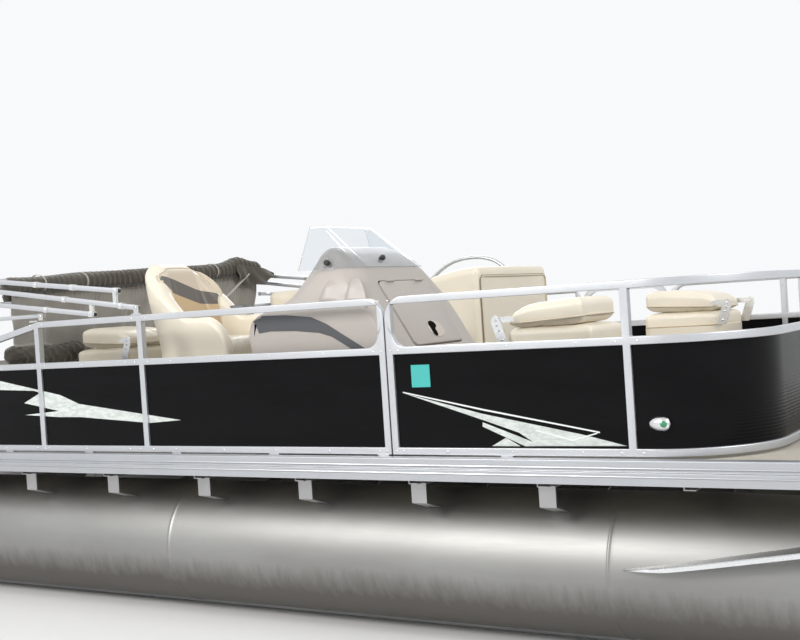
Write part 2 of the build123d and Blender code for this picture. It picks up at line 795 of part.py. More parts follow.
# Bimini, folded aft: hinge brackets, nested bows, the rolled canvas and the rear struts
bimini_y = fence_side - 23.0
strut_y = fence_side - 71.0
bow_tube = 12.5
strut_tube = 11.0
pin = 4.0
bow_pivot = (2722.0, 723.0)
strut_pivot = (1984.0, 720.0)
boot_at = (1640.0, 865.0)
boot_half = fence_side - 115.0
curtain_drop = 330.0
curtain_wall = 12.0
curtain_at = 1618.0
boot_size = (85.0, 100.0)
strut_length = 880.0
pivots = ((bow_pivot, bimini_y), (strut_pivot, strut_y))
with BuildPart() as brackets:
    for side in (-1, 1):
        for (station, height), y in pivots:
            foot_y = (side * (y + 15), side * fence_side)
            box_between((at(station) - 30, at(station) + 30), foot_y, (z_top, z_top + 8))
            box_between(
                (at(station) - 16, at(station) + 16),
                (side * (y + 15), side * (y + 19)),
                (z_top, deck_top + height + 12),
            )
            with Locations(Location((at(station), side * y, deck_top + height), (90, 0, 0))):
                Cylinder(pin + 1, 60, mode=Mode.SUBTRACT)
save(brackets.part, "bimini_brackets")
bows = (  # forward end, aft end
    (bow_pivot, (1610.0, 880.0)),
    ((2601.0, 815.0), (1640.0, 928.0)),
    ((2422.0, 705.0), (1660.0, 800.0)),
)
bow_corner = bimini_y - boot_half
with BuildPart() as frame:
    for (s0, h0), (s1, h1) in bows:
        for side in (-1, 1):
            with BuildLine() as path:
                FilletPolyline(
                    (at(s0), side * bimini_y, deck_top + h0),
                    (at(s1), side * bimini_y, deck_top + h1),
                    (at(s1), side * (boot_half - 1), deck_top + h1),
                    radius=bow_corner - 2,
                )
            with BuildSketch(Plane(origin=path.line @ 0, z_dir=path.line % 0)):
                Circle(bow_tube)
            sweep(path=path.line)
    box_between((-9e3, 9e3), (-boot_half, boot_half), (0, 9e3), mode=Mode.SUBTRACT)
    for side in (-1, 1):
        for station, low, high in ((2570.0, 740.0, 820.0), (2400.0, 708.0, 768.0)):
            box_between(
                (at(station) - 15, at(station) + 15),
                (side * (bimini_y - 8), side * (bimini_y + 8)),
                (deck_top + low, deck_top + high),
            )
        pin_at = (at(bow_pivot[0]), side * (bimini_y + 11), deck_top + bow_pivot[1])
        with Locations(Location(pin_at, (90, 0, 0))):
            Cylinder(pin, 22)
save(frame.part, "bimini_frame")
with BuildPart() as boot:
    with BuildSketch(Plane.XZ.offset(-boot_half)):
        with Locations((at(boot_at[0]), deck_top + boot_at[1])):
            Ellipse(*boot_size)
    extrude(amount=2 * boot_half)
    box_between(
        (at(curtain_at) - curtain_wall / 2, at(curtain_at) + curtain_wall / 2),
        (20 - boot_half, boot_half - 20),
        (deck_top + boot_at[1] - curtain_drop, deck_top + boot_at[1]),
    )
save(boot.part, "bimini_boot")
with BuildPart() as struts:
    for side in (-1, 1):
        end = at(strut_pivot[0]) - strut_length
        strut_z = deck_top + strut_pivot[1]
        with Locations(Location(((at(strut_pivot[0]) + end) / 2, side * strut_y, strut_z), (0, 90, 0))):
            Cylinder(strut_tube, strut_length)
        with Locations(Location((at(strut_pivot[0]), side * (strut_y + 11), strut_z), (90, 0, 0))):
            Cylinder(pin, 22)
save(struts.part, "bimini_struts")

# Outboard motor, drawn upright about its tilt tube and then tilted up as it parks
parked = Location((at(tilt_station), 0, tilt_height), (0, parked_tilt, 0))
with BuildPart() as clamp:
    for side in (-1, 1):
        low, high = sorted((side * 78, side * 90))
        box_between((-30, 40), (low, high), (-300, 28))
        box_between((40, 80), (low, high), (-20, -8))
        box_between((80, 92), (low, high), (pod_top - tilt_height + 1, -8))
    with Locations(Location((0, 0, 0), (90, 0, 0))):
        Cylinder(16, 170)
save(clamp.part.moved(Location((at(tilt_station), 0, tilt_height))), "transom_bracket")
with BuildPart() as swivel:
    with Locations(Location((0, 0, 0), (90, 0, 0))):
        Cylinder(28, 140)
    box_between((-steer_offset, 0), (-40, 40), (-60, -14))
    with Locations((-steer_offset, 0, -180)):
        Cylinder(34, 330)
    with Locations((-steer_offset, 0, -180)):
        Cylinder(17, 400, mode=Mode.SUBTRACT)
    with Locations(Location((0, 0, 0), (90, 0, 0))):
        Cylinder(16.5, 200, mode=Mode.SUBTRACT)
save(swivel.part.moved(parked), "swivel_bracket")
plate_z = -650.0
leg_profile = (  # height, front, back, half width
    (80.0, -135.0, -420.0, 95.0),
    (-80.0, -175.0, -390.0, 70.0),
    (-380.0, -175.0, -380.0, 50.0),
    (plate_z, -130.0, -400.0, 34.0),
    (-prop_drop + 40, -110.0, -400.0, 26.0),
)
with BuildPart() as leg:
    for height, front, back, half in leg_profile:
        with BuildSketch(Plane.XY.offset(height)):
            with Locations(((front + back) / 2, 0)):
                Ellipse((front - back) / 2, half)
    loft(ruled=True)
    with Locations(Location((-270, 0, -prop_drop), (0, 90, 0))):
        Cylinder(52, 300)
    with Locations(Location((-90, 0, -prop_drop), (0, 90, 0))):
        Cone(52, 12, 60)
    with BuildSketch(Plane.XY.offset(plate_z)):
        with Locations((-330, 0)):
            RectangleRounded(430, 190, 60)
    extrude(amount=9)
    with BuildSketch(Plane.XZ.offset(-6)):
        with BuildLine():
            fin_foot = ((-400, -1000), (-350, -1015), (-310, -1015))
            Polyline((-180, -prop_drop), (-400, -prop_drop), *fin_foot, close=True)
        make_face()
    extrude(amount=12)
    with Locations((-steer_offset, 0, -180)):
        Cylinder(16, 374)
    box_between((-300, -steer_offset + 34), (-45, 45), (-12 + 20, 46))
    box_between((-300, -steer_offset + 34), (-40, 40), (-372, -348))
save(leg.part.moved(parked), "outboard_leg")
cowl_profile = (  # height, front, back, half width
    (84.0, -100.0, -500.0, 150.0),
    (150.0, -75.0, -540.0, 185.0),
    (330.0, -75.0, -560.0, 195.0),
    (480.0, -100.0, -540.0, 180.0),
    (560.0, -180.0, -480.0, 130.0),
)
with BuildPart() as cowl:
    for height, front, back, half in cowl_profile:
        with BuildSketch(Plane.XY.offset(height)):
            with Locations(((front + back) / 2, 0)):
                RectangleRounded(front - back, 2 * half, 0.6 * half)
    loft(ruled=True)
    for height, front, back, half in cowl_profile:
        with BuildSketch(Plane.XY.offset(min(max(height, 88.0), 552.0))):
            with Locations(((front + back) / 2, 0)):
                RectangleRounded(front - back - 16, 2 * half - 16, 0.6 * half - 8)
    loft(ruled=True, mode=Mode.SUBTRACT)
save(cowl.part.moved(parked), "outboard_cowling")
with BuildPart() as block:
    box_between((-450, -160), (-110, 110), (110, 430))
save(block.part.moved(parked), "engine_block")
blade_cos = cos(radians(38))
blade_sin = sin(radians(38))
with BuildPart() as prop:
    with Locations(Location((-475, 0, -prop_drop), (0, 90, 0))):
        Cylinder(46, 100)
    for turn in (0, 120, 240):
        blade = Plane(
            origin=(-475, 40 * sin(radians(turn)), -prop_drop + 40 * cos(radians(turn))),
            x_dir=(blade_cos, -blade_sin * cos(radians(turn)), blade_sin * sin(radians(turn))),
            z_dir=(0, sin(radians(turn)), cos(radians(turn))),
        )
        with BuildSketch(blade):
            Rectangle(84, 7)
        with BuildSketch(blade.offset(70)):
            Rectangle(120, 5)
        with BuildSketch(blade.offset(prop_radius - 42)):
            Rectangle(60, 3)
        loft(ruled=True)
save(prop.part.moved(parked), "propeller")

# Boarding ladder and its hinge plates, and the mooring cleats
with BuildPart() as plates:
    for y in (ladder_y[0] - 16.5, ladder_y[1] + 16.5):
        box_between((at(-70), at(-0.5)), (y - 3, y + 3), (deck_top - 60, deck_top + 45))
        box_between((at(-6), at(0)), (y - 30, y + 30), (deck_top - 60, deck_top - 45))
        with Locations(Location((at(ladder_hinge[0]), y, ladder_hinge[1]), (90, 0, 0))):
            Cylinder(pin + 1, 20, mode=Mode.SUBTRACT)
save(plates.part, "ladder_hinges")
with BuildPart() as ladder:
    for y in ladder_y:
        with Locations(Location((at(ladder_hinge[0]) + ladder_length / 2, y, ladder_hinge[1]), (0, 90, 0))):
            Cylinder(12.5, ladder_length)
        out = -1 if y == ladder_y[0] else 1
        with Locations(Location((at(ladder_hinge[0]), y + out * 10, ladder_hinge[1]), (90, 0, 0))):
            Cylinder(pin, 22)
    for k in range(4):
        box_between(
            (at(ladder_hinge[0]) + 130 + 180 * k - 35, at(ladder_hinge[0]) + 130 + 180 * k + 35),
            (ladder_y[0], ladder_y[1]),
            (ladder_hinge[1] - 6, ladder_hinge[1] + 10),
        )
save(ladder.part, "boarding_ladder")
cleat_stations = (260.0, deck_length - 280.0)
with BuildPart() as cleats:
    for station in cleat_stations:
        for side in (-1, 1):
            y = side * (half_width - 70)
            with Locations((at(station), y, deck_surface + 3)):
                Box(90, 30, 6)
            neck_z = deck_surface + 20
            with Locations((at(station) - 22, y, neck_z), (at(station) + 22, y, neck_z)):
                Cylinder(8, 34)
            with Locations(Location((at(station), y, deck_surface + 40), (0, 90, 0))):
                Cylinder(9, 150)
save(cleats.part, "deck_cleats")

# Side lights on the forward panels
with BuildPart() as lights:
    for side in (-1, 1):
        face = fence_side - (rail - panel_wall) / 2
        with BuildSketch(Plane.XZ.offset(-side * face)):
            with Locations((at(5385.0), deck_top + 132)):
                RectangleRounded(88, 60, 28)
        extrude(amount=-side * 24)
save(lights.part, "side_lights")
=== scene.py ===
import bpy
import bmesh
import json
import math
import numpy as np
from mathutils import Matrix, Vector


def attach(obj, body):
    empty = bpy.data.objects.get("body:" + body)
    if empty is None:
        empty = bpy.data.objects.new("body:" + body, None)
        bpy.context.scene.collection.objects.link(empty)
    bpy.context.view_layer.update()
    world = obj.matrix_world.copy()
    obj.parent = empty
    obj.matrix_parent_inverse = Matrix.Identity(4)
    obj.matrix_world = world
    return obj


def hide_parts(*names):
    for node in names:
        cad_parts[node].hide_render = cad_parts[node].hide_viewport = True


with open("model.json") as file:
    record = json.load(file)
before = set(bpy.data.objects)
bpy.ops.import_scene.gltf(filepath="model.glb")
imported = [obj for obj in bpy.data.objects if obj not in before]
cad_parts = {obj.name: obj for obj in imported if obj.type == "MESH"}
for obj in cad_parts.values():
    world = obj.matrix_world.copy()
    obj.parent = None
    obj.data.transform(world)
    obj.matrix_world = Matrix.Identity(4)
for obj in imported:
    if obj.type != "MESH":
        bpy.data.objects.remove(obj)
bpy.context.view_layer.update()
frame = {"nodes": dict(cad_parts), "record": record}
nodes = frame["nodes"]

# Where things stand, as in the part's source: a station is a length from the deck's back edge
hull = {
    "middle": 2.566925, "deckTop": 0.825, "deckLength": 6.4, "halfWidth": 1.285,
    "tubeY": 0.875, "tubeHeight": 0.329, "fenceSide": 1.2352,
}


def at(station):
    return station - hull["middle"]


def up(height):
    return hull["deckTop"] + height


view = {"place": (4.400355, -5.618034, 1.466725), "turn": (89.37734, 3.771886, 31.656922), "lens": 54.0}
lamps = (  # name, place, aimed at, size, watts, colour
    ("keyLamp", (-1.5, -7.6, 5.2), (0.3, 0.0, 0.8), 3.2, 400, (1.0, 0.985, 0.96)),
    ("fillLamp", (8.5, -2.5, 5.5), (1.0, 0.0, 0.8), 4.0, 350, (1.0, 0.99, 0.98)),
    ("backLamp", (-3.0, 6.5, 5.0), (0.0, 0.0, 1.0), 4.0, 220, (1.0, 1.0, 1.0)),
)
backdrop = {"floor": (0.84, 0.84, 0.84), "sky": (0.94, 0.95, 0.96), "ambient": 0.62, "seen": 1.0,
            "fade": (5.0, 13.0)}  # the floor turns into the sky between these distances, in metres


def addCamera():
    camera = bpy.data.objects.new("photoCamera", bpy.data.cameras.new("photoCamera"))
    camera.data.sensor_width = 36.0
    camera.data.lens = view["lens"]
    camera.data.clip_end = 400.0
    camera.location = view["place"]
    camera.rotation_euler = [math.radians(a) for a in view["turn"]]
    bpy.context.scene.collection.objects.link(camera)
    bpy.context.scene.camera = camera


def addLamps():
    bpy.context.scene.view_settings.view_transform = "Standard"
    for name, place, target, size, watts, colour in lamps:
        lamp = bpy.data.objects.new(name, bpy.data.lights.new(name, "AREA"))
        lamp.data.shape = "DISK"
        lamp.data.size = size
        lamp.data.energy = watts
        lamp.data.color = colour
        lamp.location = place
        lamp.rotation_euler = (Vector(target) - Vector(place)).to_track_quat("-Z", "Y").to_euler()
        bpy.context.scene.collection.objects.link(lamp)
    world = bpy.data.worlds.new("studio")
    bpy.context.scene.world = world
    world.use_nodes = True
    tree = world.node_tree
    lit, seen = tree.nodes["Background"], tree.nodes.new("ShaderNodeBackground")
    for shade, strength in ((lit, backdrop["ambient"]), (seen, backdrop["seen"])):
        shade.inputs["Color"].default_value = (*backdrop["sky"], 1)
        shade.inputs["Strength"].default_value = strength
    path = tree.nodes.new("ShaderNodeLightPath")
    shown = path.outputs["Is Camera Ray"]
    for ray in ("Is Transmission Ray", "Is Glossy Ray"):
        either = tree.nodes.new("ShaderNodeMath")
        either.operation = "MAXIMUM"
        tree.links.new(shown, either.inputs[0])
        tree.links.new(path.outputs[ray], either.inputs[1])
        shown = either.outputs[0]
    mix = tree.nodes.new("ShaderNodeMixShader")
    for index, out in enumerate((shown, lit.outputs[0], seen.outputs[0])):
        tree.links.new(out, mix.inputs[index])
    tree.links.new(mix.outputs[0], tree.nodes["World Output"].inputs["Surface"])


class Paint:
    # a small hand for building one material's nodes
    def __init__(self, name, colour, metallic=0.0, roughness=0.5, coat=0.0, sheen=0.0):
        self.material = bpy.data.materials.new(name)
        self.material.use_nodes = True
        self.tree = self.material.node_tree
        self.shader = self.tree.nodes["Principled BSDF"]
        self.shader.inputs["Base Color"].default_value = (*colour, 1)
        self.shader.inputs["Metallic"].default_value = metallic
        self.shader.inputs["Roughness"].default_value = roughness
        self.shader.inputs["Coat Weight"].default_value = coat
        self.shader.inputs["Coat Roughness"].default_value = 0.12
        self.shader.inputs["Sheen Weight"].default_value = sheen
        self.coords = self.add("ShaderNodeTexCoord").outputs["Object"]

    def add(self, kind, **values):
        node = self.tree.nodes.new(kind)
        for key, value in values.items():
            setattr(node, key, value)
        return node

    def link(self, out, into):
        self.tree.links.new(out, into)

    def stretched(self, scale):
        mapping = self.add("ShaderNodeMapping")
        mapping.inputs["Scale"].default_value = scale
        self.link(self.coords, mapping.inputs["Vector"])
        return mapping.outputs["Vector"]

    def noise(self, scale, detail=4.0, rough=0.55, stretch=(1, 1, 1)):
        node = self.add("ShaderNodeTexNoise")
        node.inputs["Scale"].default_value = scale
        node.inputs["Detail"].default_value = detail
        node.inputs["Roughness"].default_value = rough
        self.link(self.stretched(stretch), node.inputs["Vector"])
        return node.outputs["Fac"]

    def ramp(self, value, stops):
        node = self.add("ShaderNodeValToRGB")
        while len(node.color_ramp.elements) < len(stops):
            node.color_ramp.elements.new(0.5)
        for element, (place, colour) in zip(node.color_ramp.elements, stops):
            element.position = place
            element.color = (*colour, 1)
        self.link(value, node.inputs["Fac"])
        return node.outputs["Color"]

    def math(self, operation, a, b=0.0, c=None):
        node = self.add("ShaderNodeMath", operation=operation)
        for index, value in enumerate((a, b, c)):
            if value is None:
                continue
            if isinstance(value, (int, float)):
                node.inputs[index].default_value = value
            else:
                self.link(value, node.inputs[index])
        return node.outputs[0]

    def mix(self, factor, a, b):
        node = self.add("ShaderNodeMix", data_type="RGBA")
        for socket, value in ((node.inputs["Factor"], factor), (node.inputs["A"], a), (node.inputs["B"], b)):
            if isinstance(value, (int, float)):
                socket.default_value = value
            elif isinstance(value, tuple):
                socket.default_value = (*value, 1)
            else:
                self.link(value, socket)
        return node.outputs["Result"]

    def colour(self, out):
        self.link(out, self.shader.inputs["Base Color"])

    def rough(self, value, low, high):
        node = self.add("ShaderNodeMapRange")
        node.inputs["To Min"].default_value = low
        node.inputs["To Max"].default_value = high
        self.link(value, node.inputs["Value"])
        self.link(node.outputs["Result"], self.shader.inputs["Roughness"])

    def bump(self, height, strength, distance):
        node = self.add("ShaderNodeBump")
        node.inputs["Strength"].default_value = strength
        node.inputs["Distance"].default_value = distance
        self.link(height, node.inputs["Height"])
        previous = self.shader.inputs["Normal"]
        if previous.is_linked:
            self.link(previous.links[0].from_socket, node.inputs["Normal"])
        self.link(node.outputs["Normal"], previous)


def wornMetal(name, colour, roughness, spots=60.0, brushed=(1, 1, 1), metallic=1.0, marks=0.12):
    # metal whose shade drifts by noise, with fine brushed lines
    paint = Paint(name, colour, metallic, roughness)
    broad = paint.noise(3.0, 5.0)
    fine = paint.noise(spots, 3.0, 0.6, brushed)
    dark = tuple(c * (1 - 1.6 * marks) for c in colour)
    light = tuple(min(1.0, c * (1 + marks)) for c in colour)
    paint.colour(paint.mix(paint.math("MULTIPLY", broad, 0.9), dark, light))
    paint.rough(fine, max(0.05, roughness - 0.1), roughness + 0.14)
    paint.bump(fine, 0.12, 0.0006)
    return paint.material


def vinyl(name, colour, grain=420.0):
    # leathercloth: a cell grain, and slow drifts of shade and of gloss
    paint = Paint(name, colour, 0.0, 0.42, 0.12)
    cells = paint.add("ShaderNodeTexVoronoi", feature="SMOOTH_F1")
    cells.inputs["Scale"].default_value = grain
    paint.link(paint.coords, cells.inputs["Vector"])
    drift = paint.noise(5.0, 5.0)
    dark = tuple(c * 0.90 for c in colour)
    paint.colour(paint.mix(drift, dark, tuple(min(1.0, c * 1.06) for c in colour)))
    paint.rough(drift, 0.34, 0.54)
    paint.bump(cells.outputs["Distance"], 0.22, 0.0008)
    paint.bump(paint.noise(9.0, 3.0), 0.25, 0.004)
    return paint.material


def cloth(name, colour):
    # woven canvas: two crossed waves for the threads, with faded patches
    paint = Paint(name, colour, 0.0, 0.9, 0.0, 0.35)
    waves = []
    for direction in ("X", "Y"):
        wave = paint.add("ShaderNodeTexWave", bands_direction=direction)
        wave.inputs["Scale"].default_value = 900.0 / 6.283
        wave.inputs["Distortion"].default_value = 0.4
        paint.link(paint.coords, wave.inputs["Vector"])
        waves.append(wave.outputs["Fac"])
    weave = paint.math("MULTIPLY", waves[0], waves[1])
    fade = paint.noise(4.0, 6.0, 0.65)
    paint.colour(paint.mix(fade, tuple(c * 0.72 for c in colour), tuple(min(1, c * 1.28) for c in colour)))
    paint.bump(weave, 0.3, 0.0006)
    paint.bump(paint.noise(16.0, 4.0), 0.35, 0.006)
    return paint.material


def moulded(name, colour, roughness=0.38, coat=0.15):
    # moulded plastic: a fine stipple and a faint chalky drift
    paint = Paint(name, colour, 0.0, roughness, coat)
    drift = paint.noise(2.4, 5.0)
    paint.colour(paint.mix(drift, tuple(c * 0.93 for c in colour), tuple(min(1, c * 1.04) for c in colour)))
    fine = paint.noise(700.0, 2.0)
    paint.rough(drift, roughness - 0.06, roughness + 0.1)
    paint.bump(fine, 0.15, 0.0005)
    return paint.material


def carpet(name, colour):
    # short marine carpet: speckled tufts
    paint = Paint(name, colour, 0.0, 0.97, 0.0, 0.3)
    tuft = paint.noise(380.0, 3.0, 0.7)
    patch = paint.noise(3.0, 4.0)
    speck = paint.mix(tuft, tuple(c * 0.55 for c in colour), tuple(min(1, c * 1.35) for c in colour))
    paint.colour(paint.mix(paint.math("MULTIPLY", patch, 0.5), speck, tuple(c * 0.8 for c in colour)))
    paint.bump(tuft, 0.7, 0.003)
    return paint.material


finish = {
    "anodised_rail": wornMetal("anodisedRail", (0.58, 0.595, 0.62), 0.38, 90, (1, 1, 1), 0.85, 0.08),
    "tube_aluminium": wornMetal("tubeSheet", (0.43, 0.43, 0.435), 0.40, 240, (0.03, 1, 1), 1.0, 0.16),
    "black_panel": moulded("blackSkin", (0.012, 0.012, 0.014), 0.25, 0.4),
    "deck_carpet": carpet("deckCarpet", (0.42, 0.38, 0.30)),
    "console_white": moulded("consoleMoulding", (0.45, 0.412, 0.38), 0.42, 0.12),
    "beige_vinyl": vinyl("beigeVinyl", (0.83, 0.765, 0.635)),
    "grey_canvas": cloth("greyCanvas", (0.078, 0.068, 0.054)),
    "seat_base_plastic": moulded("seatPlastic", (0.80, 0.73, 0.60), 0.45, 0.1),
    "motor_black": moulded("motorPaint", (0.018, 0.018, 0.02), 0.22, 0.6),
    "curtain": cloth("curtainCloth", (0.31, 0.295, 0.27)),
    "strap": cloth("strapWeb", (0.05, 0.05, 0.05)),
    "pale_strap": cloth("paleWeb", (0.42, 0.40, 0.36)),
    # the dark cord beside a welt: painted shade of the seam's groove
    "seam": vinyl("seamShade", (0.22, 0.18, 0.13), 500.0),
    "welt": vinyl("weltCord", (0.70, 0.62, 0.48), 500.0),
    "trim_bright": wornMetal("trimBright", (0.50, 0.515, 0.54), 0.38, 120, (0.05, 1, 1), 0.9, 0.06),
    "bright_sheet": wornMetal("brightSheet", (0.78, 0.79, 0.80), 0.28, 150, (1, 1, 1), 1.0, 0.05),
    "stainless": wornMetal("stainlessSteel", (0.72, 0.72, 0.72), 0.2, 120, (1, 1, 1), 1.0, 0.05),
    "dark_plastic": moulded("darkPlastic", (0.02, 0.02, 0.02), 0.5, 0.0),
    "iron_block": wornMetal("ironBlock", (0.20, 0.20, 0.20), 0.7),
}


def clearSheet(name, tint):
    # acrylic: light goes through it, bent a little, with a faint haze
    paint = Paint(name, tint, 0.0, 0.06, 0.0)
    paint.shader.inputs["Transmission Weight"].default_value = 1.0
    paint.shader.inputs["IOR"].default_value = 1.2
    haze = paint.noise(8.0, 3.0)
    paint.rough(haze, 0.03, 0.10)
    return paint.material


finish["clear_acrylic"] = clearSheet("clearAcrylic", (0.86, 0.89, 0.92))


def newPiece(name, vertices, faces, material, body, slotName, sharp=38.0, replaced=None):
    # one mesh from points and faces, shaded smooth but for edges over the sharp angle; the material may be
    # the name of one in finish
    mesh = bpy.data.meshes.new(name)
    mesh.from_pydata(np.asarray(vertices, float).reshape(-1, 3).tolist(), [], faces)
    mesh.update()
    piece = bpy.data.objects.new(name, mesh)
    bpy.context.scene.collection.objects.link(piece)
    mesh.materials.append(finish[material] if isinstance(material, str) else material)
    mesh.polygons.foreach_set("use_smooth", np.ones(len(mesh.polygons), bool))
    if sharp < 180:
        mesh.set_sharp_from_angle(angle=math.radians(sharp))
    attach(piece, body)
    for node in replaced or ():
        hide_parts(node)
    return piece


def softenedCopy(node, width, material=None):
    # the node's own mesh, merged, with rounded edges: stands for the node
    mesh = nodes[node].data.copy()
    piece = bpy.data.objects.new(node + ".trimmed", mesh)
    bpy.context.scene.collection.objects.link(piece)
    work = bmesh.new()
    work.from_mesh(mesh)
    bmesh.ops.remove_doubles(work, verts=work.verts, dist=0.00002)
    work.to_mesh(mesh)
    work.free()
    mesh.materials.clear()
    mesh.materials.append(material or finish[slotOf[node]])
    mesh.polygons.foreach_set("use_smooth", np.ones(len(mesh.polygons), bool))
    bevel = piece.modifiers.new("roundedEdges", "BEVEL")
    bevel.width = width
    bevel.segments = 2
    bevel.limit_method = "ANGLE"
    bevel.angle_limit = math.radians(35)
    normals = piece.modifiers.new("flatFaces", "WEIGHTED_NORMAL")
    normals.keep_sharp = True
    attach(piece, bodyOf[node])
    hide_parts(node)


slotOf = {row["node"]: row["material_slot"] for row in frame["record"]["subparts"]}
bodyOf = {node: body for body, members in frame["record"]["behaviour"]["bodies"].items() for node in members}

for name, obj in nodes.items():
    obj.data.materials.clear()
    obj.data.materials.append(finish[slotOf[name]])
print("finishes are on the frame")


def addFloor():
    size = 60.0
    mesh = bpy.data.meshes.new("studioFloor")
    mesh.from_pydata([(-size, -size, 0), (size, -size, 0), (size, size, 0), (-size, size, 0)], [],
                     [(0, 1, 2, 3)])
    floor = bpy.data.objects.new("studioFloor", mesh)
    bpy.context.scene.collection.objects.link(floor)
    # near the boat a matt floor that takes its shadow; far out, where it is seen, the sky's own tone
    paint = Paint("paleFloor", backdrop["floor"], 0.0, 0.8)
    away = paint.add("ShaderNodeVectorMath", operation="LENGTH")
    paint.link(paint.coords, away.inputs[0])
    near, far = backdrop["fade"]
    share = paint.math("MULTIPLY_ADD", away.outputs["Value"], 1 / (far - near), -near / (far - near))
    path = paint.add("ShaderNodeLightPath")
    seen = paint.math("MAXIMUM", path.outputs["Is Camera Ray"], path.outputs["Is Transmission Ray"])
    seen = paint.math("MAXIMUM", seen, path.outputs["Is Glossy Ray"])
    share = paint.math("MULTIPLY", paint.math("MINIMUM", paint.math("MAXIMUM", share, 0.0), 1.0), seen)
    glow = paint.add("ShaderNodeEmission")
    glow.inputs["Color"].default_value = (*backdrop["sky"], 1)
    mix = paint.add("ShaderNodeMixShader")
    paint.link(share, mix.inputs["Fac"])
    paint.link(paint.shader.outputs[0], mix.inputs[1])
    paint.link(glow.outputs[0], mix.inputs[2])
    paint.link(mix.outputs[0], paint.tree.nodes["Material Output"].inputs["Surface"])
    mesh.materials.append(paint.material)


def smoothLine(x, knots, values):
    # a cubic through the knots whose slope at each is the mean of its two neighbours' slopes
    knots, values = np.asarray(knots, float), np.asarray(values, float)
    step = np.diff(values) / np.diff(knots)
    slope = np.concatenate([[step[0]], (step[:-1] + step[1:]) / 2, [step[-1]]])
    slope[1:-1][step[:-1] * step[1:] <= 0] = 0.0
    i = np.clip(np.searchsorted(knots, x) - 1, 0, len(knots) - 2)
    h = knots[i + 1] - knots[i]
    t = np.clip((x - knots[i]) / h, 0, 1)
    a = (1 + 2 * t) * (1 - t) ** 2 * values[i] + t * (1 - t) ** 2 * h * slope[i]
    return a + t * t * (3 - 2 * t) * values[i + 1] + t * t * (t - 1) * h * slope[i + 1]


def gridFaces(rows, columns, closed=False, flip=False):
    # quads between neighbouring rows of a grid; closed joins the last column to the first
    r, c = np.meshgrid(np.arange(rows - 1), np.arange(columns if closed else columns - 1), indexing="ij")
    d = (c + 1) % columns
    quads = np.stack([r * columns + c, r * columns + d, (r + 1) * columns + d, (r + 1) * columns + c], -1)
    quads = quads.reshape(-1, 4)
    return (quads[:, ::-1] if flip else quads).tolist()


def tubeFaces(rows, columns, flip=False):
    # a closed grid's quads and a face over each end
    first, last = list(range(columns)), list(range((rows - 1) * columns, rows * columns))
    caps = [first, last[::-1]] if flip else [first[::-1], last]
    return gridFaces(rows, columns, True, flip) + caps


def sweep(path, profile, hint=(0, 0, 1), scale=None):
    # profile points (side, up) carried along the path: side is hint x tangent, up is tangent x side
    path = np.asarray(path, float)
    profile = np.asarray(profile, float)
    tangent = np.gradient(path, axis=0)
    tangent /= np.linalg.norm(tangent, axis=1)[:, None]
    side = np.cross(np.broadcast_to(np.asarray(hint, float), tangent.shape), tangent)
    side /= np.linalg.norm(side, axis=1)[:, None]
    lift = np.cross(tangent, side)
    size = np.ones(len(path)) if scale is None else np.asarray(scale, float)
    ring = profile[:, :1] * side[:, None] + profile[:, 1:] * lift[:, None]
    points = (path[:, None] + size[:, None, None] * ring).reshape(-1, 3)
    return points, tubeFaces(len(path), len(profile))


def rimOf(rows, columns):
    # the numbers of a grid's outer points, once round
    return np.concatenate([np.arange(rows) * columns, (rows - 1) * columns + np.arange(1, columns),
                           np.arange(rows - 1)[::-1] * columns + columns - 1,
                           np.arange(1, columns - 1)[::-1]])


def thinSheet(front, back, flip=False):
    # two grids of points, one behind the other, closed round their rims
    rows, columns = front.shape[:2]
    total = rows * columns
    grid, edge = np.array(gridFaces(rows, columns)), rimOf(rows, columns)
    rim = np.stack([edge, np.roll(edge, -1), np.roll(edge, -1) + total, edge + total], -1)
    quads = np.concatenate([grid, grid[:, ::-1] + total, rim])
    return np.concatenate([front.reshape(-1, 3),
                           back.reshape(-1, 3)]), (quads[:, ::-1] if flip else quads).tolist()


def roundProfile(radius, count=16):
    # a circle: radius * (cos a, sin a)
    angle = np.linspace(0, 2 * math.pi, count, endpoint=False)
    return np.stack([radius * np.cos(angle), radius * np.sin(angle)], -1)


def closedSweep(loop, profile, hint, scale=None):
    # a profile carried round a closed loop: the loop runs on past its ends, so that the rings there meet, and
    # the extra rings are dropped
    loop = np.asarray(loop, float)
    size = np.ones(len(loop)) if scale is None else scale
    path, size = (np.concatenate([v[-1:], v, v[:2]]) for v in (loop, size))
    points = sweep(path, profile, hint, size)[0].reshape(len(path), len(profile), 3)[1:-1]
    return points.reshape(-1, 3), gridFaces(len(points), len(profile), True)


def weltLoop(outline, radius=0.0042):
    # a closed round cord through points in space
    return closedSweep(outline, roundProfile(radius, 8), (0.013, 0.017, 1.0))


def joined(parts):
    # several (points, faces) as one, with the faces' numbers moved along
    points, faces, start = [], [], 0
    for some, those in parts:
        some = np.asarray(some, float).reshape(-1, 3)
        points.append(some)
        faces.extend([[v + start for v in face] for face in those])
        start += len(some)
    return np.concatenate(points), faces


def pathOf(corners, radius, count=8):
    # straight runs through the corners, each turned on a circle: its centre lies on the bisector at
    # radius / sin(half), and the straights end at radius / tan(half) from the corner
    corners = [np.asarray(c, float) for c in corners]
    out = [corners[0][None]]
    for before, here, after in zip(corners, corners[1:], corners[2:]):
        u = (before - here) / np.linalg.norm(before - here)
        v = (after - here) / np.linalg.norm(after - here)
        half = math.acos(float(np.clip(u @ v, -1, 1))) / 2
        centre = here + (u + v) / np.linalg.norm(u + v) * radius / math.sin(half)
        a, b = here + u * radius / math.tan(half) - centre, here + v * radius / math.tan(half) - centre
        turn = math.pi - 2 * half
        t = np.linspace(0, 1, count)[:, None]
        out.append(centre + (np.sin((1 - t) * turn) * a + np.sin(t * turn) * b) / math.sin(turn))
    out.append(corners[-1][None])
    return np.concatenate(out)


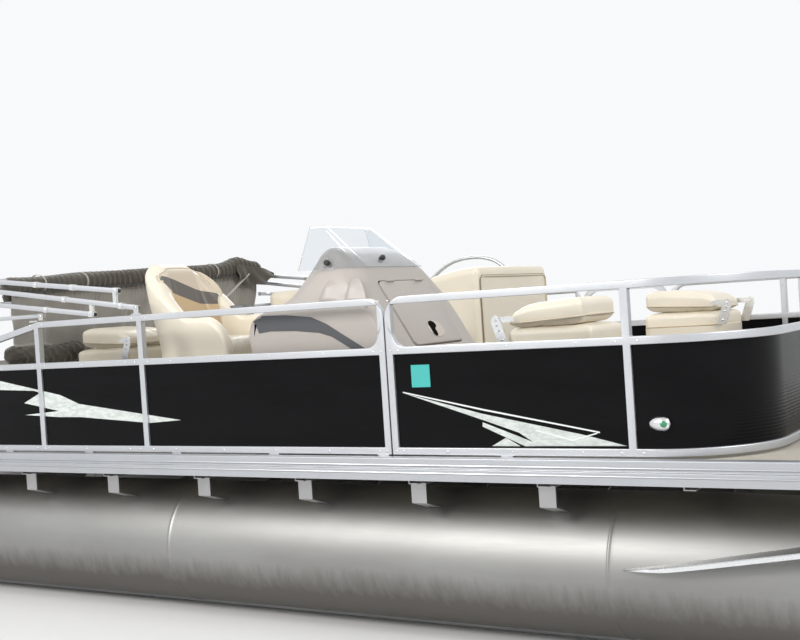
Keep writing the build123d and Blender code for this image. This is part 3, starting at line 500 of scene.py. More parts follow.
def cubeLattice(n):
    # the surface points of an n by n by n lattice, each once, and its outward quads
    i, j = np.meshgrid(np.arange(n), np.arange(n), indexing="ij")
    i, j = i.ravel(), j.ravel()
    quads = []
    for axis in range(3):
        for end in (0, n):
            corner = []
            for di, dj in ((0, 0), (1, 0), (1, 1), (0, 1)):
                point = np.empty((len(i), 3), int)
                point[:, axis] = end
                point[:, (axis + 1) % 3] = i + di
                point[:, (axis + 2) % 3] = j + dj
                corner.append(point)
            if end == 0:
                corner.reverse()
            quads.append(np.stack(corner, 1))
    quads = np.concatenate(quads)
    keys = quads[..., 0] * (n + 1) ** 2 + quads[..., 1] * (n + 1) + quads[..., 2]
    unique, index = np.unique(keys.ravel(), return_inverse=True)
    points = np.stack([unique // (n + 1) ** 2, (unique // (n + 1)) % (n + 1), unique % (n + 1)], -1)
    return points / n * 2.0 - 1.0, index.reshape(-1, 4).tolist()


def padPoints(unit, half, radius, crown, pull):
    # a box whose edges are rounded by radius; its top rises by crown in the middle, and its sides draw in by
    # pull between the corners
    half = np.asarray(half, float)
    reach = np.sign(unit) * (1 - (1 - np.abs(unit)) ** 1.35) * half
    inner = np.clip(reach, -(half - radius), half - radius)
    out = reach - inner
    length = np.linalg.norm(out, axis=1)[:, None]
    biggest = np.abs(out).max(1)[:, None]
    points = inner + np.where(length > 1e-9, out / np.maximum(length, 1e-9) * biggest, 0)
    x, y, z = (points / half).T
    dome = np.clip(1 - np.abs(x) ** 3, 0, 1) * np.clip(1 - np.abs(y) ** 3, 0, 1)
    points[:, 2] += np.clip(z, 0, None) * crown * dome
    points[:, 0] *= 1 - pull * np.clip(1 - y * y, 0, 1) * np.abs(x) / half[0]
    points[:, 1] *= 1 - pull * np.clip(1 - x * x, 0, 1) * np.abs(y) / half[1]
    return points


def turned(points, degrees, axis="z"):
    # the points times the rotation matrix about z or y
    a = math.radians(degrees)
    c, s = math.cos(a), math.sin(a)
    matrix = [[c, -s, 0], [s, c, 0], [0, 0, 1]] if axis == "z" else [[c, 0, s], [0, 1, 0], [-s, 0, c]]
    return points @ np.array(matrix).T


floats = {
    "start": 0.060, "noseStart": 5.115, "welds": (0.453, 2.784, 5.115), "bead": 0.0032, "beadWidth": 0.006,
    "nose": ((5.115, 0.305, 0.0), (5.65, 0.304, 0.0), (5.95, 0.288, 0.012), (6.20, 0.235, 0.052),
             (6.35, 0.165, 0.098), (6.425, 0.080, 0.140), (6.450, 0.004, 0.147)),
    "strake": {"from": 5.17, "angle": 9.5, "out": 0.245, "drop": 0.374, "thick": 0.004},
}


def floatMaterial():
    # dull drawn sheet: fine lines along it, blotched stains, and a brown darkening under the waterline
    paint = Paint("floatSheet", (0.45, 0.445, 0.43), 1.0, 0.36)
    axes = paint.add("ShaderNodeSeparateXYZ")
    paint.link(paint.coords, axes.inputs[0])
    broad = paint.noise(2.2, 6.0, 0.6, (0.5, 1, 1.6))
    fine = paint.noise(260.0, 3.0, 0.6, (0.02, 1, 1))
    drips = paint.noise(26.0, 4.0, 0.6, (1.0, 1.0, 0.12))
    line = paint.math("ADD", axes.outputs["Z"], paint.math("MULTIPLY", paint.math("SUBTRACT", drips, 0.5),
                                                           0.12))
    # darker under the waterline: partly a waterline stain, partly painted shade of the float's lower side
    stainAndPaintedShade = paint.ramp(line, ((0.17, (1, 1, 1)), (0.30, (0, 0, 0))))
    clean = paint.mix(broad, (0.25, 0.246, 0.238), (0.40, 0.40, 0.39))
    paint.colour(paint.mix(paint.math("MULTIPLY", stainAndPaintedShade, 0.75), clean, (0.13, 0.12, 0.105)))
    wear = paint.math("ADD", paint.math("MULTIPLY", fine, 0.5), paint.math("MULTIPLY", stainAndPaintedShade, 0.5))
    paint.rough(wear, 0.44, 0.64)
    paint.bump(fine, 0.12, 0.0005)
    paint.bump(paint.noise(3.5, 3.0), 0.10, 0.010)
    return paint.material


def floatSkin(side):
    # rings of radius r(s) about a centre that lifts by c(s) towards the nose; each ring weld is a bump of
    # r, a Gaussian of the distance from its station
    stations = np.concatenate([
        np.linspace(floats["start"], 5.1, 150), np.linspace(5.104, 5.126, 9), np.linspace(5.14, 6.45, 90),
        *[weld + np.linspace(-0.015, 0.015, 9) for weld in floats["welds"][:2]],
    ])
    stations = np.unique(np.round(stations, 5))
    knots = np.array(floats["nose"])
    past = stations > floats["noseStart"]
    radius = np.where(past, smoothLine(stations, knots[:, 0], knots[:, 1]), knots[0, 1])
    lift = np.where(past, smoothLine(stations, knots[:, 0], knots[:, 2]), 0.0)
    for weld in floats["welds"]:
        radius = radius + floats["bead"] * np.exp(-(((stations - weld) / floats["beadWidth"]) ** 2))
    angle = np.linspace(0, 2 * math.pi, 96, endpoint=False)
    x = np.broadcast_to(at(stations)[:, None], (len(stations), 96))
    y = side * hull["tubeY"] + radius[:, None] * np.cos(angle)
    z = hull["tubeHeight"] + lift[:, None] + radius[:, None] * np.sin(angle)
    return np.stack([x, y, z], -1).reshape(-1, 3), tubeFaces(len(stations), 96)


def keelStrip(side):
    # a shallow channel under the float, and a fin that follows the nose up to the eye plate
    y = side * hull["tubeY"]
    profile = np.array([(-0.020, 0.040), (-0.020, 0.004), (-0.016, 0.0), (0.016, 0.0), (0.020, 0.004),
                        (0.020, 0.040)])
    low = np.array([(at(0.16), y, 0.0), (at(5.2), y, 0.0)])
    strip = sweep(low, profile)
    under = np.array([(5.12, 0.010), (5.5, 0.004), (5.72, 0.006), (5.98, 0.036), (6.22, 0.124), (6.38, 0.236),
                      (6.43, 0.36)])
    s = np.linspace(5.12, 6.43, 40)
    bottom = smoothLine(s, under[:, 0], under[:, 1])
    rows = []
    for dy, dz in ((-0.004, 0.09), (-0.004, 0.0), (0.004, 0.0), (0.004, 0.09)):
        rows.append(np.stack([at(s), np.full_like(s, y + dy), bottom + dz], -1))
    fin = np.stack(rows, 1).reshape(-1, 3)
    return joined([strip, (fin, tubeFaces(len(s), 4))])


def strakePlate(side):
    # a flat plate standing out of the float, pointed at its aft end and rising with the nose, folded down
    # along its outer edge
    value = floats["strake"]
    steps = np.array([0.0, 0.10, 0.26, 0.55, 0.85, 1.05, 1.18])
    reach = np.array([0.052, 0.092, 0.122, 0.132, 0.125, 0.085, 0.030])
    s = np.linspace(0, 1.18, 40)
    out = smoothLine(s, steps, reach)
    a = math.radians(value["angle"])
    x = at(value["from"]) + s * math.cos(a)
    z = value["drop"] + s * math.sin(a)
    inner = np.interp(s, [0, 0.55, 0.8, 1.0, 1.18], [0.0, -0.01, -0.05, -0.11, -0.19])
    fold = np.interp(s, [0, 0.2, 0.9, 1.18], [0.002, 0.020, 0.020, 0.004])
    y0 = side * (hull["tubeY"] + value["out"])
    rows = [
        np.stack([x, y0 + side * inner, z], -1),
        np.stack([x, y0 + side * out, z], -1),
        np.stack([x, y0 + side * (out + 0.004), z - 0.004], -1),
        np.stack([x, y0 + side * (out + 0.005), z - fold], -1),
        np.stack([x, y0 + side * out, z - fold], -1),
        np.stack([x, y0 + side * (out - 0.003), z - value["thick"] - 0.002], -1),
        np.stack([x, y0 + side * inner, z - value["thick"]], -1),
    ]
    return np.stack(rows, 1).reshape(-1, 3), tubeFaces(len(s), 7, side > 0)


def addFloats():
    sheet = floatMaterial()
    for side, name in ((-1, "starboard"), (1, "port")):
        skin = newPiece(name + "FloatSkin", *floatSkin(side), sheet, "hull", "tube_aluminium")
        newPiece(name + "Keel", *keelStrip(side), "tube_aluminium", "hull", "tube_aluminium")
        newPiece(name + "Strake", *strakePlate(side), "bright_sheet", "hull", "tube_aluminium")
        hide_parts(name + "_tube")
    print("floats are in")


def mirrored(part):
    # the same points with y turned over, faces reversed
    points, faces = part
    return points * np.array([1, -1, 1]), [list(face)[::-1] for face in faces]


def roundedOutline(width, height, radius, count=6):
    # a rectangle about its own middle with quarter-circle corners, anticlockwise
    quarter = np.radians(np.linspace(0, 90, count))
    out = []
    for k, (sx, sy) in enumerate(((1, 1), (-1, 1), (-1, -1), (1, -1))):
        angle = quarter + k * math.pi / 2
        middle = np.array([sx * (width / 2 - radius), sy * (height / 2 - radius)])
        out.append(middle + radius * np.stack([np.cos(angle), np.sin(angle)], -1))
    return np.concatenate(out)


def flatLoop(width, depth, radius, height, count=6):
    # a rounded rectangle lying flat at a height, about its middle
    flat = roundedOutline(width, depth, radius, count)
    return np.concatenate([flat, np.full((len(flat), 1), height)], 1)


def squareProfile(half, corner):
    return roundedOutline(2 * half, 2 * half, corner, 3)


def domes(places, normals, radius):
    # a low dome at each place: rings of radius * cos(t) lifted by height * radius * sin(t) along the normal
    height, count = 0.4, 10
    places, normals = np.asarray(places, float), np.asarray(normals, float)
    normals = np.broadcast_to(normals, places.shape)
    helper = np.where(np.abs(normals[:, 2:3]) > 0.9, [[1.0, 0, 0]], [[0, 0, 1.0]])
    u = np.cross(helper, normals)
    u /= np.linalg.norm(u, axis=1)[:, None]
    v = np.cross(normals, u)
    angle = np.linspace(0, 2 * math.pi, count, endpoint=False)
    rings = []
    for t in (0.0, 0.5, 1.1):
        ring = radius * math.cos(t) * (np.cos(angle)[:, None] * u[:, None] + np.sin(angle)[:, None] * v[:, None])
        rings.append(places[:, None] + ring + normals[:, None] * radius * height * math.sin(t))
    grid = np.concatenate(rings, 1)
    one = np.array(gridFaces(3, count, True))
    start = np.arange(len(places))[:, None, None] * 3 * count
    ends = np.array([np.arange(count)[::-1], np.arange(2 * count, 3 * count)])
    return grid.reshape(-1, 3), (start + one).reshape(-1,
                                                      4).tolist() + (start + ends).reshape(-1, count).tolist()


def slab(outline, origin, right, upward, thick):
    # a flat outline in a plane's own two directions, given a thickness along their cross product
    outline = np.asarray(outline, float)
    right, upward = np.asarray(right, float), np.asarray(upward, float)
    normal = np.cross(right, upward)
    base = np.asarray(origin, float) + outline[:, :1] * right + outline[:, 1:] * upward
    n = len(outline)
    area = np.sum(outline[:, 0] * np.roll(outline[:, 1], -1) - np.roll(outline[:, 0], -1) * outline[:, 1])
    points = np.concatenate([base, base + normal * thick])
    return points, tubeFaces(2, n, area < 0)


def tub(centre, half, rounding=0.25):
    # a plain box with slightly rounded upright edges
    x, y, z = half
    rings = [flatLoop(2 * x, 2 * y, rounding * min(x, y), level, 4) for level in (-z, z)]
    return np.concatenate(rings) + np.asarray(centre, float), tubeFaces(2, 16)


panels = {
    "low": 0.036, "high": 0.438, "face": 1.2222, "thick": 0.0056, "pitch": 0.0134, "depth": 0.00045,
    "front": 5.757, "back": 0.793, "bowTurn": 0.407, "sternTurn": 0.137,
    "fill": (0.54, 0.58, 0.56), "fillLight": (0.68, 0.72, 0.69), "line": (0.80, 0.825, 0.82),
}
stripeFills = (  # convex outlines on the side skins: x from the boat's middle, height above the trim
    ((2.057, 0.177), (2.506, 0.089), (2.218, 0.099)),
    ((2.218, 0.099), (2.506, 0.089), (2.681, 0.046), (2.307, 0.044)),
    ((2.057, 0.177), (2.285, 0.130), (2.218, 0.099), (2.055, 0.152)),
    ((2.055, 0.142), (2.053, 0.124), (2.243, 0.043), (2.325, 0.044)),
    ((2.092, 0.043), (2.159, 0.078), (2.222, 0.043)),
    ((1.676, 0.271), (2.057, 0.177), (2.055, 0.152)),
    ((-0.890, 0.383), (-0.895, 0.334), (-0.559, 0.322)),
    ((-0.890, 0.383), (-0.559, 0.322), (-0.447, 0.304), (-0.296, 0.250)),
    ((-0.559, 0.322), (-0.710, 0.260), (-0.447, 0.215), (-0.296, 0.250)),
    ((-0.710, 0.196), (-0.444, 0.183), (-0.296, 0.182), (-0.447, 0.215)),
    ((-0.447, 0.215), (-0.296, 0.250), (0.396, 0.162), (0.190, 0.149), (-0.296, 0.182)),
)
stripeLines = (
    ((2.059, 0.198), (2.571, 0.102), (2.571, 0.096), (2.058, 0.191)),
    ((2.571, 0.101), (2.453, 0.071), (2.452, 0.065), (2.555, 0.092)),
    ((2.297, 0.110), (2.456, 0.071), (2.452, 0.065), (2.297, 0.105)),
    ((1.676, 0.276), (2.059, 0.198), (2.058, 0.191), (1.676, 0.271)),
)


def insideOf(paint, outline, soft=0.0008, acrossY=False):
    # 1 inside a convex outline in x (or y) and height, 0 outside: the least signed distance to its edges,
    # softened
    outline = np.asarray(outline, float) + [0, hull["deckTop"]]
    after = np.roll(outline, -1, 0)
    area = np.sum(outline[:, 0] * after[:, 1] - after[:, 0] * outline[:, 1])
    least = None
    for (x0, z0), (x1, z1) in zip(outline, after):
        length = math.hypot(x1 - x0, z1 - z0) * (1 if area > 0 else -1)
        normal = (-(z1 - z0) / length, 0, (x1 - x0) / length)
        normal = (0, normal[0], normal[2]) if acrossY else normal
        dot = paint.add("ShaderNodeVectorMath", operation="DOT_PRODUCT")
        paint.link(paint.coords, dot.inputs[0])
        dot.inputs[1].default_value = normal
        away = paint.math("SUBTRACT", dot.outputs["Value"], x0 * (normal[0] + normal[1]) + z0 * normal[2])
        least = away if least is None else paint.math("MINIMUM", least, away)
    ramped = paint.math("MULTIPLY_ADD", least, 1 / soft, 0.5)
    return paint.math("MINIMUM", paint.math("MAXIMUM", ramped, 0.0), 1.0)


def painted(paint, colour, layers, soft=0.0008, acrossY=False, where=None):
    # each layer's tone over the colour, inside the greatest of its outlines' masks
    for outlines, tone in layers:
        mask = 0.0
        for outline in outlines:
            mask = paint.math("MAXIMUM", mask, insideOf(paint, outline, soft, acrossY))
        mask = mask if where is None else paint.math("MULTIPLY", mask, where)
        colour = paint.mix(mask, colour, tone)
    return colour


def panelMaterial():
    # black coil-coated sheet with printed bands, which show only on the outer faces of the two sides
    paint = Paint("panelSkin", (0.012, 0.012, 0.014), 0.0, 0.28, 0.0)
    paint.shader.inputs["Specular IOR Level"].default_value = 0.09
    axes = paint.add("ShaderNodeSeparateXYZ")
    paint.link(paint.coords, axes.inputs[0])
    outside = paint.math("GREATER_THAN", paint.math("ABSOLUTE", axes.outputs["Y"]), panels["face"] - 0.0035)
    dust = paint.noise(7.0, 6.0, 0.6, (0.4, 1, 1.6))
    black = paint.mix(dust, (0.0022, 0.0022, 0.0026), (0.006, 0.006, 0.007))
    mottle = paint.noise(46.0, 5.0, 0.7, (0.5, 1, 1.3))
    fill = paint.mix(paint.ramp(mottle, ((0.42, (0, 0, 0)), (0.58, (1, 1, 1)))), panels["fill"],
                     panels["fillLight"])
    layers = ((stripeFills, fill), (stripeLines, panels["line"]))
    paint.colour(painted(paint, black, layers, where=outside))
    paint.rough(dust, 0.16, 0.30)
    return paint.material


def ribbedProfile(low, high, thick):
    # outer face = thick / 2 - depth * (1 - |cos(pi * z / pitch)|) ^ 0.7, with z from the foot
    z = np.linspace(low, high, int((high - low) / panels["pitch"] * 6) + 1)
    outer = thick / 2 - panels["depth"] * (1 - np.abs(np.cos(math.pi * (z - low) / panels["pitch"]))) ** 0.7
    face = np.stack([outer, z], -1)
    return np.concatenate([face, [[-thick / 2, high], [-thick / 2, low]]])


def addPanels():
    skin = panelMaterial()
    middle = panels["face"] - panels["thick"] / 2
    front, back = at(panels["front"]), at(panels["back"])
    front -= panels["thick"] / 2
    back += panels["thick"] / 2
    profile = ribbedProfile(panels["low"], panels["high"], panels["thick"])
    z = hull["deckTop"]
    for name, sign, thirdEnd, fourthStart in (("starboard", -1, 4.141, 4.211), ("port", 1, 4.026, 4.652)):
        bow = pathOf([(front, -0.412, z), (front, -middle, z), (at(5.290), -middle, z)], panels["bowTurn"],
                     18)
        stern = pathOf([(at(1.984), -middle, z), (back, -middle, z), (back, -0.362, z)], panels["sternTurn"],
                       10)
        runs = [bow, stern]
        for ahead, aft in ((5.258, fourthStart), (thirdEnd, 2.753), (2.721, 2.016)):
            runs.append(np.array([(at(ahead), -middle, z), (at((ahead + aft) / 2), -middle, z),
                                  (at(aft), -middle, z)]))
        parts = [sweep(run, profile) for run in runs]
        if sign > 0:
            parts = [mirrored(part) for part in parts]
        newPiece(name + "Skins", *joined(parts), skin, "hull", "black_panel", 60, [name + "_panels"])
    gateProfile = ribbedProfile(0.045, 0.437, 0.0085)
    x0, x1, y = at(4.074) + 0.033, at(4.604) - 0.033, 1.219
    gates = (
        ("sideGateSkin", [(x0, y, z), ((x0 + x1) / 2, y, z), (x1, y, z)], "side_gate_leaf"),
        ("bowGateSkin", [(at(5.754), 0.331, z), (at(5.754), 0, z), (at(5.754), -0.331, z)], "bow_gate_leaf"),
        ("sternGateSkin", [(at(0.796), -0.281, z), (at(0.796), 0, z), (at(0.796), 0.281, z)],
         "stern_gate_leaf"),
    )
    for name, run, body in gates:
        newPiece(name, *sweep(run, gateProfile), skin, body, "black_panel", 60)
    print("panels are in")


rails = {"soft": 0.0035, "trimSoft": 0.002, "screw": 0.0046, "trimRidges": (0.793, 0.760), "ridge": 0.0035}


def addRails():
    for node in ("starboard_aft_fence", "starboard_fore_fence", "port_aft_fence", "port_fore_fence",
                 "side_gate",
                 "bow_gate", "stern_gate"):
        softenedCopy(node, rails["soft"])
    softenedCopy("deck_trim", rails["trimSoft"], finish["trim_bright"])
    # screws in the rails' outer faces, beside each post and along the runs
    places = []
    for sign in (-1, 1):
        for post in (2.000, 2.737, 4.157, 4.195, 5.274):
            for dx in (-0.045, 0.045):
                for height in (0.020, 0.454, 0.672):
                    places.append((at(post) + dx, sign * hull["fenceSide"], up(height)))
        for station in np.arange(1.1, 5.3, 0.305):
            for height in (0.020, 0.454):
                places.append((at(station), sign * hull["fenceSide"], up(height)))
    places = np.unique(np.round(places, 6), axis=0)
    heads = domes(places, np.sign(places) * (0, 1, 0), rails["screw"])
    newPiece("railScrews", *heads, "stainless", "hull", "anodised_rail")
    # two ridges along the trim's faces
    aft, fore, y = at(0), at(hull["deckLength"]), hull["halfWidth"]
    runs = []
    for height in rails["trimRidges"]:
        corners = [(aft, 0, height), (aft, -y, height), (fore, -y, height), (fore, y, height),
                   (aft, y, height),
                   (aft, 0.001, height)]
        runs.append(sweep(pathOf(corners, 0.012, 4), roundProfile(rails["ridge"], 8)))
    newPiece("trimRidges", *joined(runs), "trim_bright", "hull", "anodised_rail")
    print("rails and trim are in")


deckGear = {
    "rounded": {"riser_brackets": 0.0012, "cross_beams": 0.001, "motor_pod": 0.004, "chair_pedestals": 0.003,
                "bimini_brackets": 0.0008, "ladder_hinges": 0.001, "transom_bracket": 0.004},
    "cleats": (0.260, 6.120), "cleatIn": 0.070, "cleatHalf": 0.073, "cleatTop": 0.858,
    "ladderAt": -0.045, "ladderRails": (-0.930, -0.590), "treads": 4, "treadPitch": 0.180,
    "lightAt": (5.385, 1.2226, 0.132), "starboardLens": (0.02, 0.25, 0.12), "portLens": (0.45, 0.02, 0.02),
    "eyeAt": (6.490, 0.479), "eyeRings": ((0.014, -0.005), (0.014, 0.005), (0.027, 0.005), (0.027, -0.005)),
}


def addCleats():
    # each a horn that thins to its ends, on two short necks and a base
    d, parts = deckGear, []
    x = np.linspace(-d["cleatHalf"], d["cleatHalf"], 17)
    for station in d["cleats"]:
        for sign in (-1, 1):
            y = sign * (hull["halfWidth"] - d["cleatIn"])
            path = np.stack([at(station) + x, np.full(17, y), d["cleatTop"] + 0.8 * x * x], -1)
            parts.append(sweep(path, roundProfile(0.0085, 12), scale=1 - 0.45 * (x / d["cleatHalf"]) ** 2))
            for dx in (-0.022, 0.022):
                neck = np.array([(at(station) + dx, y, z) for z in (0.820, 0.832, 0.845, 0.858)])
                parts.append(sweep(neck, roundProfile(0.009, 12), (0, 1, 0), [1.5, 1.0, 0.85, 0.9]))
            parts.append(tub((at(station), y, 0.8195), (0.045, 0.015, 0.003), 0.8))
    newPiece("cleats", *joined(parts), "stainless", "hull", "stainless", 38, ["deck_cleats"])


def addLadder():
    # two rails, and flat treads with grip ribs
    d, parts = deckGear, []
    start, middle = at(d["ladderAt"]), sum(d["ladderRails"]) / 2
    for y in d["ladderRails"]:
        run = np.array([(start + t, y, 0.848) for t in (0.0, 0.24, 0.48, 0.72)])
        parts.append(sweep(run, roundProfile(0.0125, 16)))
    for k in range(d["treads"]):
        x = start + 0.130 + d["treadPitch"] * k
        parts.append(tub((x, middle, 0.850), (0.035, 0.168, 0.006), 0.1))
        for dx in (-0.024, -0.008, 0.008, 0.024):
            parts.append(tub((x + dx, middle, 0.857), (0.003, 0.160, 0.0022), 0.3))
    newPiece("ladderRails", *joined(parts), "stainless", "ladder", "stainless", 38, ["boarding_ladder"])


def addSideLights():
    # a bright teardrop with a coloured lens forward; its half width is 0.030 * sqrt(1 - (x / reach) ^ 2)
    # about its thickest place, with a longer reach aft
    station, out, height = deckGear["lightAt"]
    x, lensX = np.linspace(-0.044, 0.044, 25), np.linspace(0.006, 0.040, 9)
    width = 0.030 * np.sqrt(np.clip(1 - ((x - 0.014) / np.where(x > 0.014, 0.030, 0.058)) ** 2, 0, 1))
    lensWidth = 0.026 * np.sqrt(np.clip(1 - np.linspace(-0.5, 0.98, 9) ** 2, 0.01, 1))
    half = np.linspace(0, math.pi, 11)
    for name, sign, replaced in (("starboard", -1, ["side_lights"]), ("port", 1, None)):
        ring = np.stack([0.78 * sign * np.sin(half), np.cos(half)], -1)[::-sign]
        path, lensPath = (np.array([at(station), sign * out,
                                    up(height)]) + s[:, None] * (1, 0, 0) for s in (x, lensX))
        housing = sweep(path, ring, scale=np.maximum(width, 0.0015))
        newPiece(name + "Light", *housing, "stainless", "hull", "stainless", 50, replaced)
        glow = Paint(name + "Lens", deckGear[name + "Lens"], 0.0, 0.12, 0.6)
        lens = sweep(lensPath, ring * (1.25, 0.85), scale=lensWidth)
        newPiece(name + "LightLens", *lens, glow.material, "hull", "stainless", 50)


def addNoseEyes():
    # plates on the floats' noses, each with its hole
    d, parts = deckGear, []
    turn = np.linspace(0, 2 * math.pi, 24, endpoint=False)
    for sign in (-1, 1):
        centre = np.array([at(d["eyeAt"][0]), sign * hull["tubeY"], d["eyeAt"][1]])
        rings = []
        for radius, out in d["eyeRings"] + d["eyeRings"][:1]:
            rings.append(centre + np.stack([radius * np.cos(turn), np.full(24, out), radius * np.sin(turn)],
                                           -1))
        parts.append((np.concatenate(rings), gridFaces(5, 24, True)))
        parts.append(tub((at(6.455), sign * hull["tubeY"], 0.474), (0.022, 0.005, 0.017), 0.1))
    newPiece("noseEyes", *joined(parts), "bright_sheet", "hull", "tube_aluminium")


def addDeckGear():
    for node, width in deckGear["rounded"].items():
        softenedCopy(node, width)
    addCleats()
    addLadder()
    addSideLights()
    addNoseEyes()
    print("deck gear is in")


consoleShape = {
    "rows": (  # height, aft, fore, starboard, port, corner radius
        (-0.008, 3.345, 4.420, -1.150, -0.400, 0.040), (0.060, 3.346, 4.420, -1.150, -0.400, 0.040),
        (0.440, 3.351, 4.190, -1.150, -0.400, 0.042), (0.620, 3.365, 4.081, -1.150, -0.400, 0.052),
        (0.655, 3.420, 4.060, -1.145, -0.400, 0.060), (0.700, 3.550, 4.0327, -1.135, -0.400, 0.072),
        (0.760, 3.610, 3.9964, -1.122, -0.412, 0.092), (0.830, 3.655, 3.954, -1.095, -0.435, 0.110),
        (0.900, 3.705, 3.860, -1.055, -0.475, 0.074), (0.930, 3.725, 3.810, -1.010, -0.520, 0.040),
        (0.940, 3.740, 3.785, -0.985, -0.545, 0.020),
    ),
    "wall": 0.010, "rings": 58, "slopeLow": (4.190, 0.440), "slopeFoot": (4.420, 0.060),
    "doorSpan": (-0.985, -0.535), "doorStart": -0.385, "doorLength": 0.365,
    "bandTop": ((3.366, 0.612), (3.384, 0.638), (3.456, 0.642), (3.588, 0.638), (3.731, 0.622),
                (3.812, 0.588), (3.896, 0.538),
                (4.018, 0.467), (4.112, 0.386), (4.120, 0.376)),
    "bandFoot": ((3.366, 0.604), (3.410, 0.600), (3.424, 0.560), (3.495, 0.567), (3.640, 0.562),
                 (3.770, 0.548), (3.841, 0.527),
                 (3.940, 0.470), (4.060, 0.376), (4.120, 0.374)),
    "notchTop": ((3.364, 0.602), (3.412, 0.604)), "notchFoot": ((3.364, 0.598), (3.390, 0.540),
                                                                (3.412, 0.600)),
    "fins": ((3.836, -0.022, 0.792, 0.660), (3.962, -0.004, 0.785, 0.652)), "finDepth": 0.013,
    "finWidth": 0.078,
}


def consoleRings(inset, heights):
    # rounded rectangles at each height; aft, fore, sides and corner radius follow smooth lines through
    # the rows, and each corner is a quarter circle of the radius
    rows = np.array(consoleShape["rows"])
    known = rows[:, 0]
    aft, star, port, radius = (smoothLine(heights, known, rows[:, k]) for k in (1, 3, 4, 5))
    fore = np.interp(heights, known, rows[:, 2])
    aft, fore, star, port = aft + inset, fore - inset, star + inset, port - inset
    radius = np.clip(radius - inset, 0.004, np.minimum(fore - aft, port - star) / 2 - 0.001)
    quarter = np.radians(np.linspace(0, 90, 9))
    rings = []
    for k, (sx, sy) in enumerate(((1, 1), (-1, 1), (-1, -1), (1, -1))):
        cx = (fore - radius) if sx > 0 else (aft + radius)
        cy = (port - radius) if sy > 0 else (star + radius)
        angle = quarter + k * math.pi / 2
        x = cx[:, None] + radius[:, None] * np.cos(angle)
        y = cy[:, None] + radius[:, None] * np.sin(angle)
        rings.append(np.stack([x - hull["middle"], y, np.broadcast_to(up(heights)[:, None], x.shape)], -1))
    return np.concatenate(rings, 1)


def slopePoint(alongSlope, y, out=0.0):
    # a point on the console's sloping face: along it from the low corner, across, and out along its normal
    (s0, h0), (s1, h1) = consoleShape["slopeLow"], consoleShape["slopeFoot"]
    length = math.hypot(s1 - s0, h1 - h0)
    run, drop = (s1 - s0) / length, (h1 - h0) / length
    return np.array([at(s0) + alongSlope * run - out * drop, y, up(h0) + alongSlope * drop + out * run])


def cutOpening(piece, points, faces):
    # takes a closed cutter out of the piece for good
    mesh = bpy.data.meshes.new("cutter")
    mesh.from_pydata(np.asarray(points).tolist(), [], faces)
    cutter = bpy.data.objects.new("cutter", mesh)
    bpy.context.scene.collection.objects.link(cutter)
    step = piece.modifiers.new("opening", "BOOLEAN")
    step.operation = "DIFFERENCE"
    step.solver = "EXACT"
    step.object = cutter
    bpy.context.view_layer.update()
    baked = bpy.data.meshes.new_from_object(piece.evaluated_get(bpy.context.evaluated_depsgraph_get()))
    piece.modifiers.clear()
    piece.data = baked
    bpy.data.objects.remove(cutter)


def pillow(outline, origin, right, upward, thick, soft):
    # a flat outline lifted off its plane: each ring shrinks towards the middle by soft * (1 - cos t) while it
    # rises by thick * sin t, so its rim is rounded
    outline = np.asarray(outline, float)
    centre = outline.mean(0)
    right, upward = np.asarray(right, float), np.asarray(upward, float)
    normal = np.cross(right, upward)
    reach = np.linalg.norm(outline - centre, axis=1).mean()
    t = np.linspace(0, math.pi / 2, 5)
    shrink = 1 - soft / reach * (1 - np.cos(t))
    flat = centre + (outline - centre)[None] * shrink[:, None, None]
    points = np.asarray(origin, float) + flat[..., :1] * right + flat[..., 1:] * upward
    points = points + normal * (thick * np.sin(t))[:, None, None]
    return points.reshape(-1, 3), tubeFaces(5, len(outline))


def finRidge(apex, drift, high, low):
    # a wedge on the shoulder: depth = finDepth * grow(v) * sin(pi t ^ 0.5) over its width, which widens from
    # nothing at its apex and fades before its foot; t runs fore along it and v down it
    rows = np.array(consoleShape["rows"])
    v, t = np.meshgrid(np.linspace(0, 1, 28), np.linspace(0, 1, 28), indexing="ij")
    height = high + (low - high) * v
    side = np.interp(height, rows[:, 0], rows[:, 3])
    grow = np.clip(v / 0.35, 0, 1) ** 0.8 * np.clip((1 - v) / 0.30, 0, 1)
    depth = consoleShape["finDepth"] * grow * np.sin(math.pi * t ** 0.5)
    x = at(apex + drift * v) + (t - 0.42) * 2 * (0.010 + 0.74 * consoleShape["finWidth"] * v ** 0.55)
    face = np.stack([x, side - depth + 0.0016, up(height)], -1)
    back = face + np.array([0, 1, 0]) * (depth + 0.006)[..., None]
    return thinSheet(face, back, True)


def bandSheet(top, foot, out):
    # a thin strip on the console's starboard side between two edges; round the aft corner y follows the
    # quarter circle radius - sqrt(radius^2 - (radius - (s - aft))^2)
    top, foot, rows = np.array(top), np.array(foot), np.array(consoleShape["rows"])
    s, v = np.meshgrid(np.linspace(top[0, 0], top[-1, 0], 260), np.linspace(0, 1, 7), indexing="ij")
    high, low = np.interp(s, top[:, 0], top[:, 1]), np.interp(s, foot[:, 0], foot[:, 1])
    height = high + (low - high) * v
    aft, side, radius = (np.interp(height, rows[:, 0], rows[:, k]) for k in (1, 3, 5))
    short = np.clip(radius - (s - aft), 0, radius)
    y = side + radius - np.sqrt(radius ** 2 - short ** 2) - out
    front = np.stack([at(s), y, up(height)], -1)
    return thinSheet(front, front + (0, 0.004, 0))


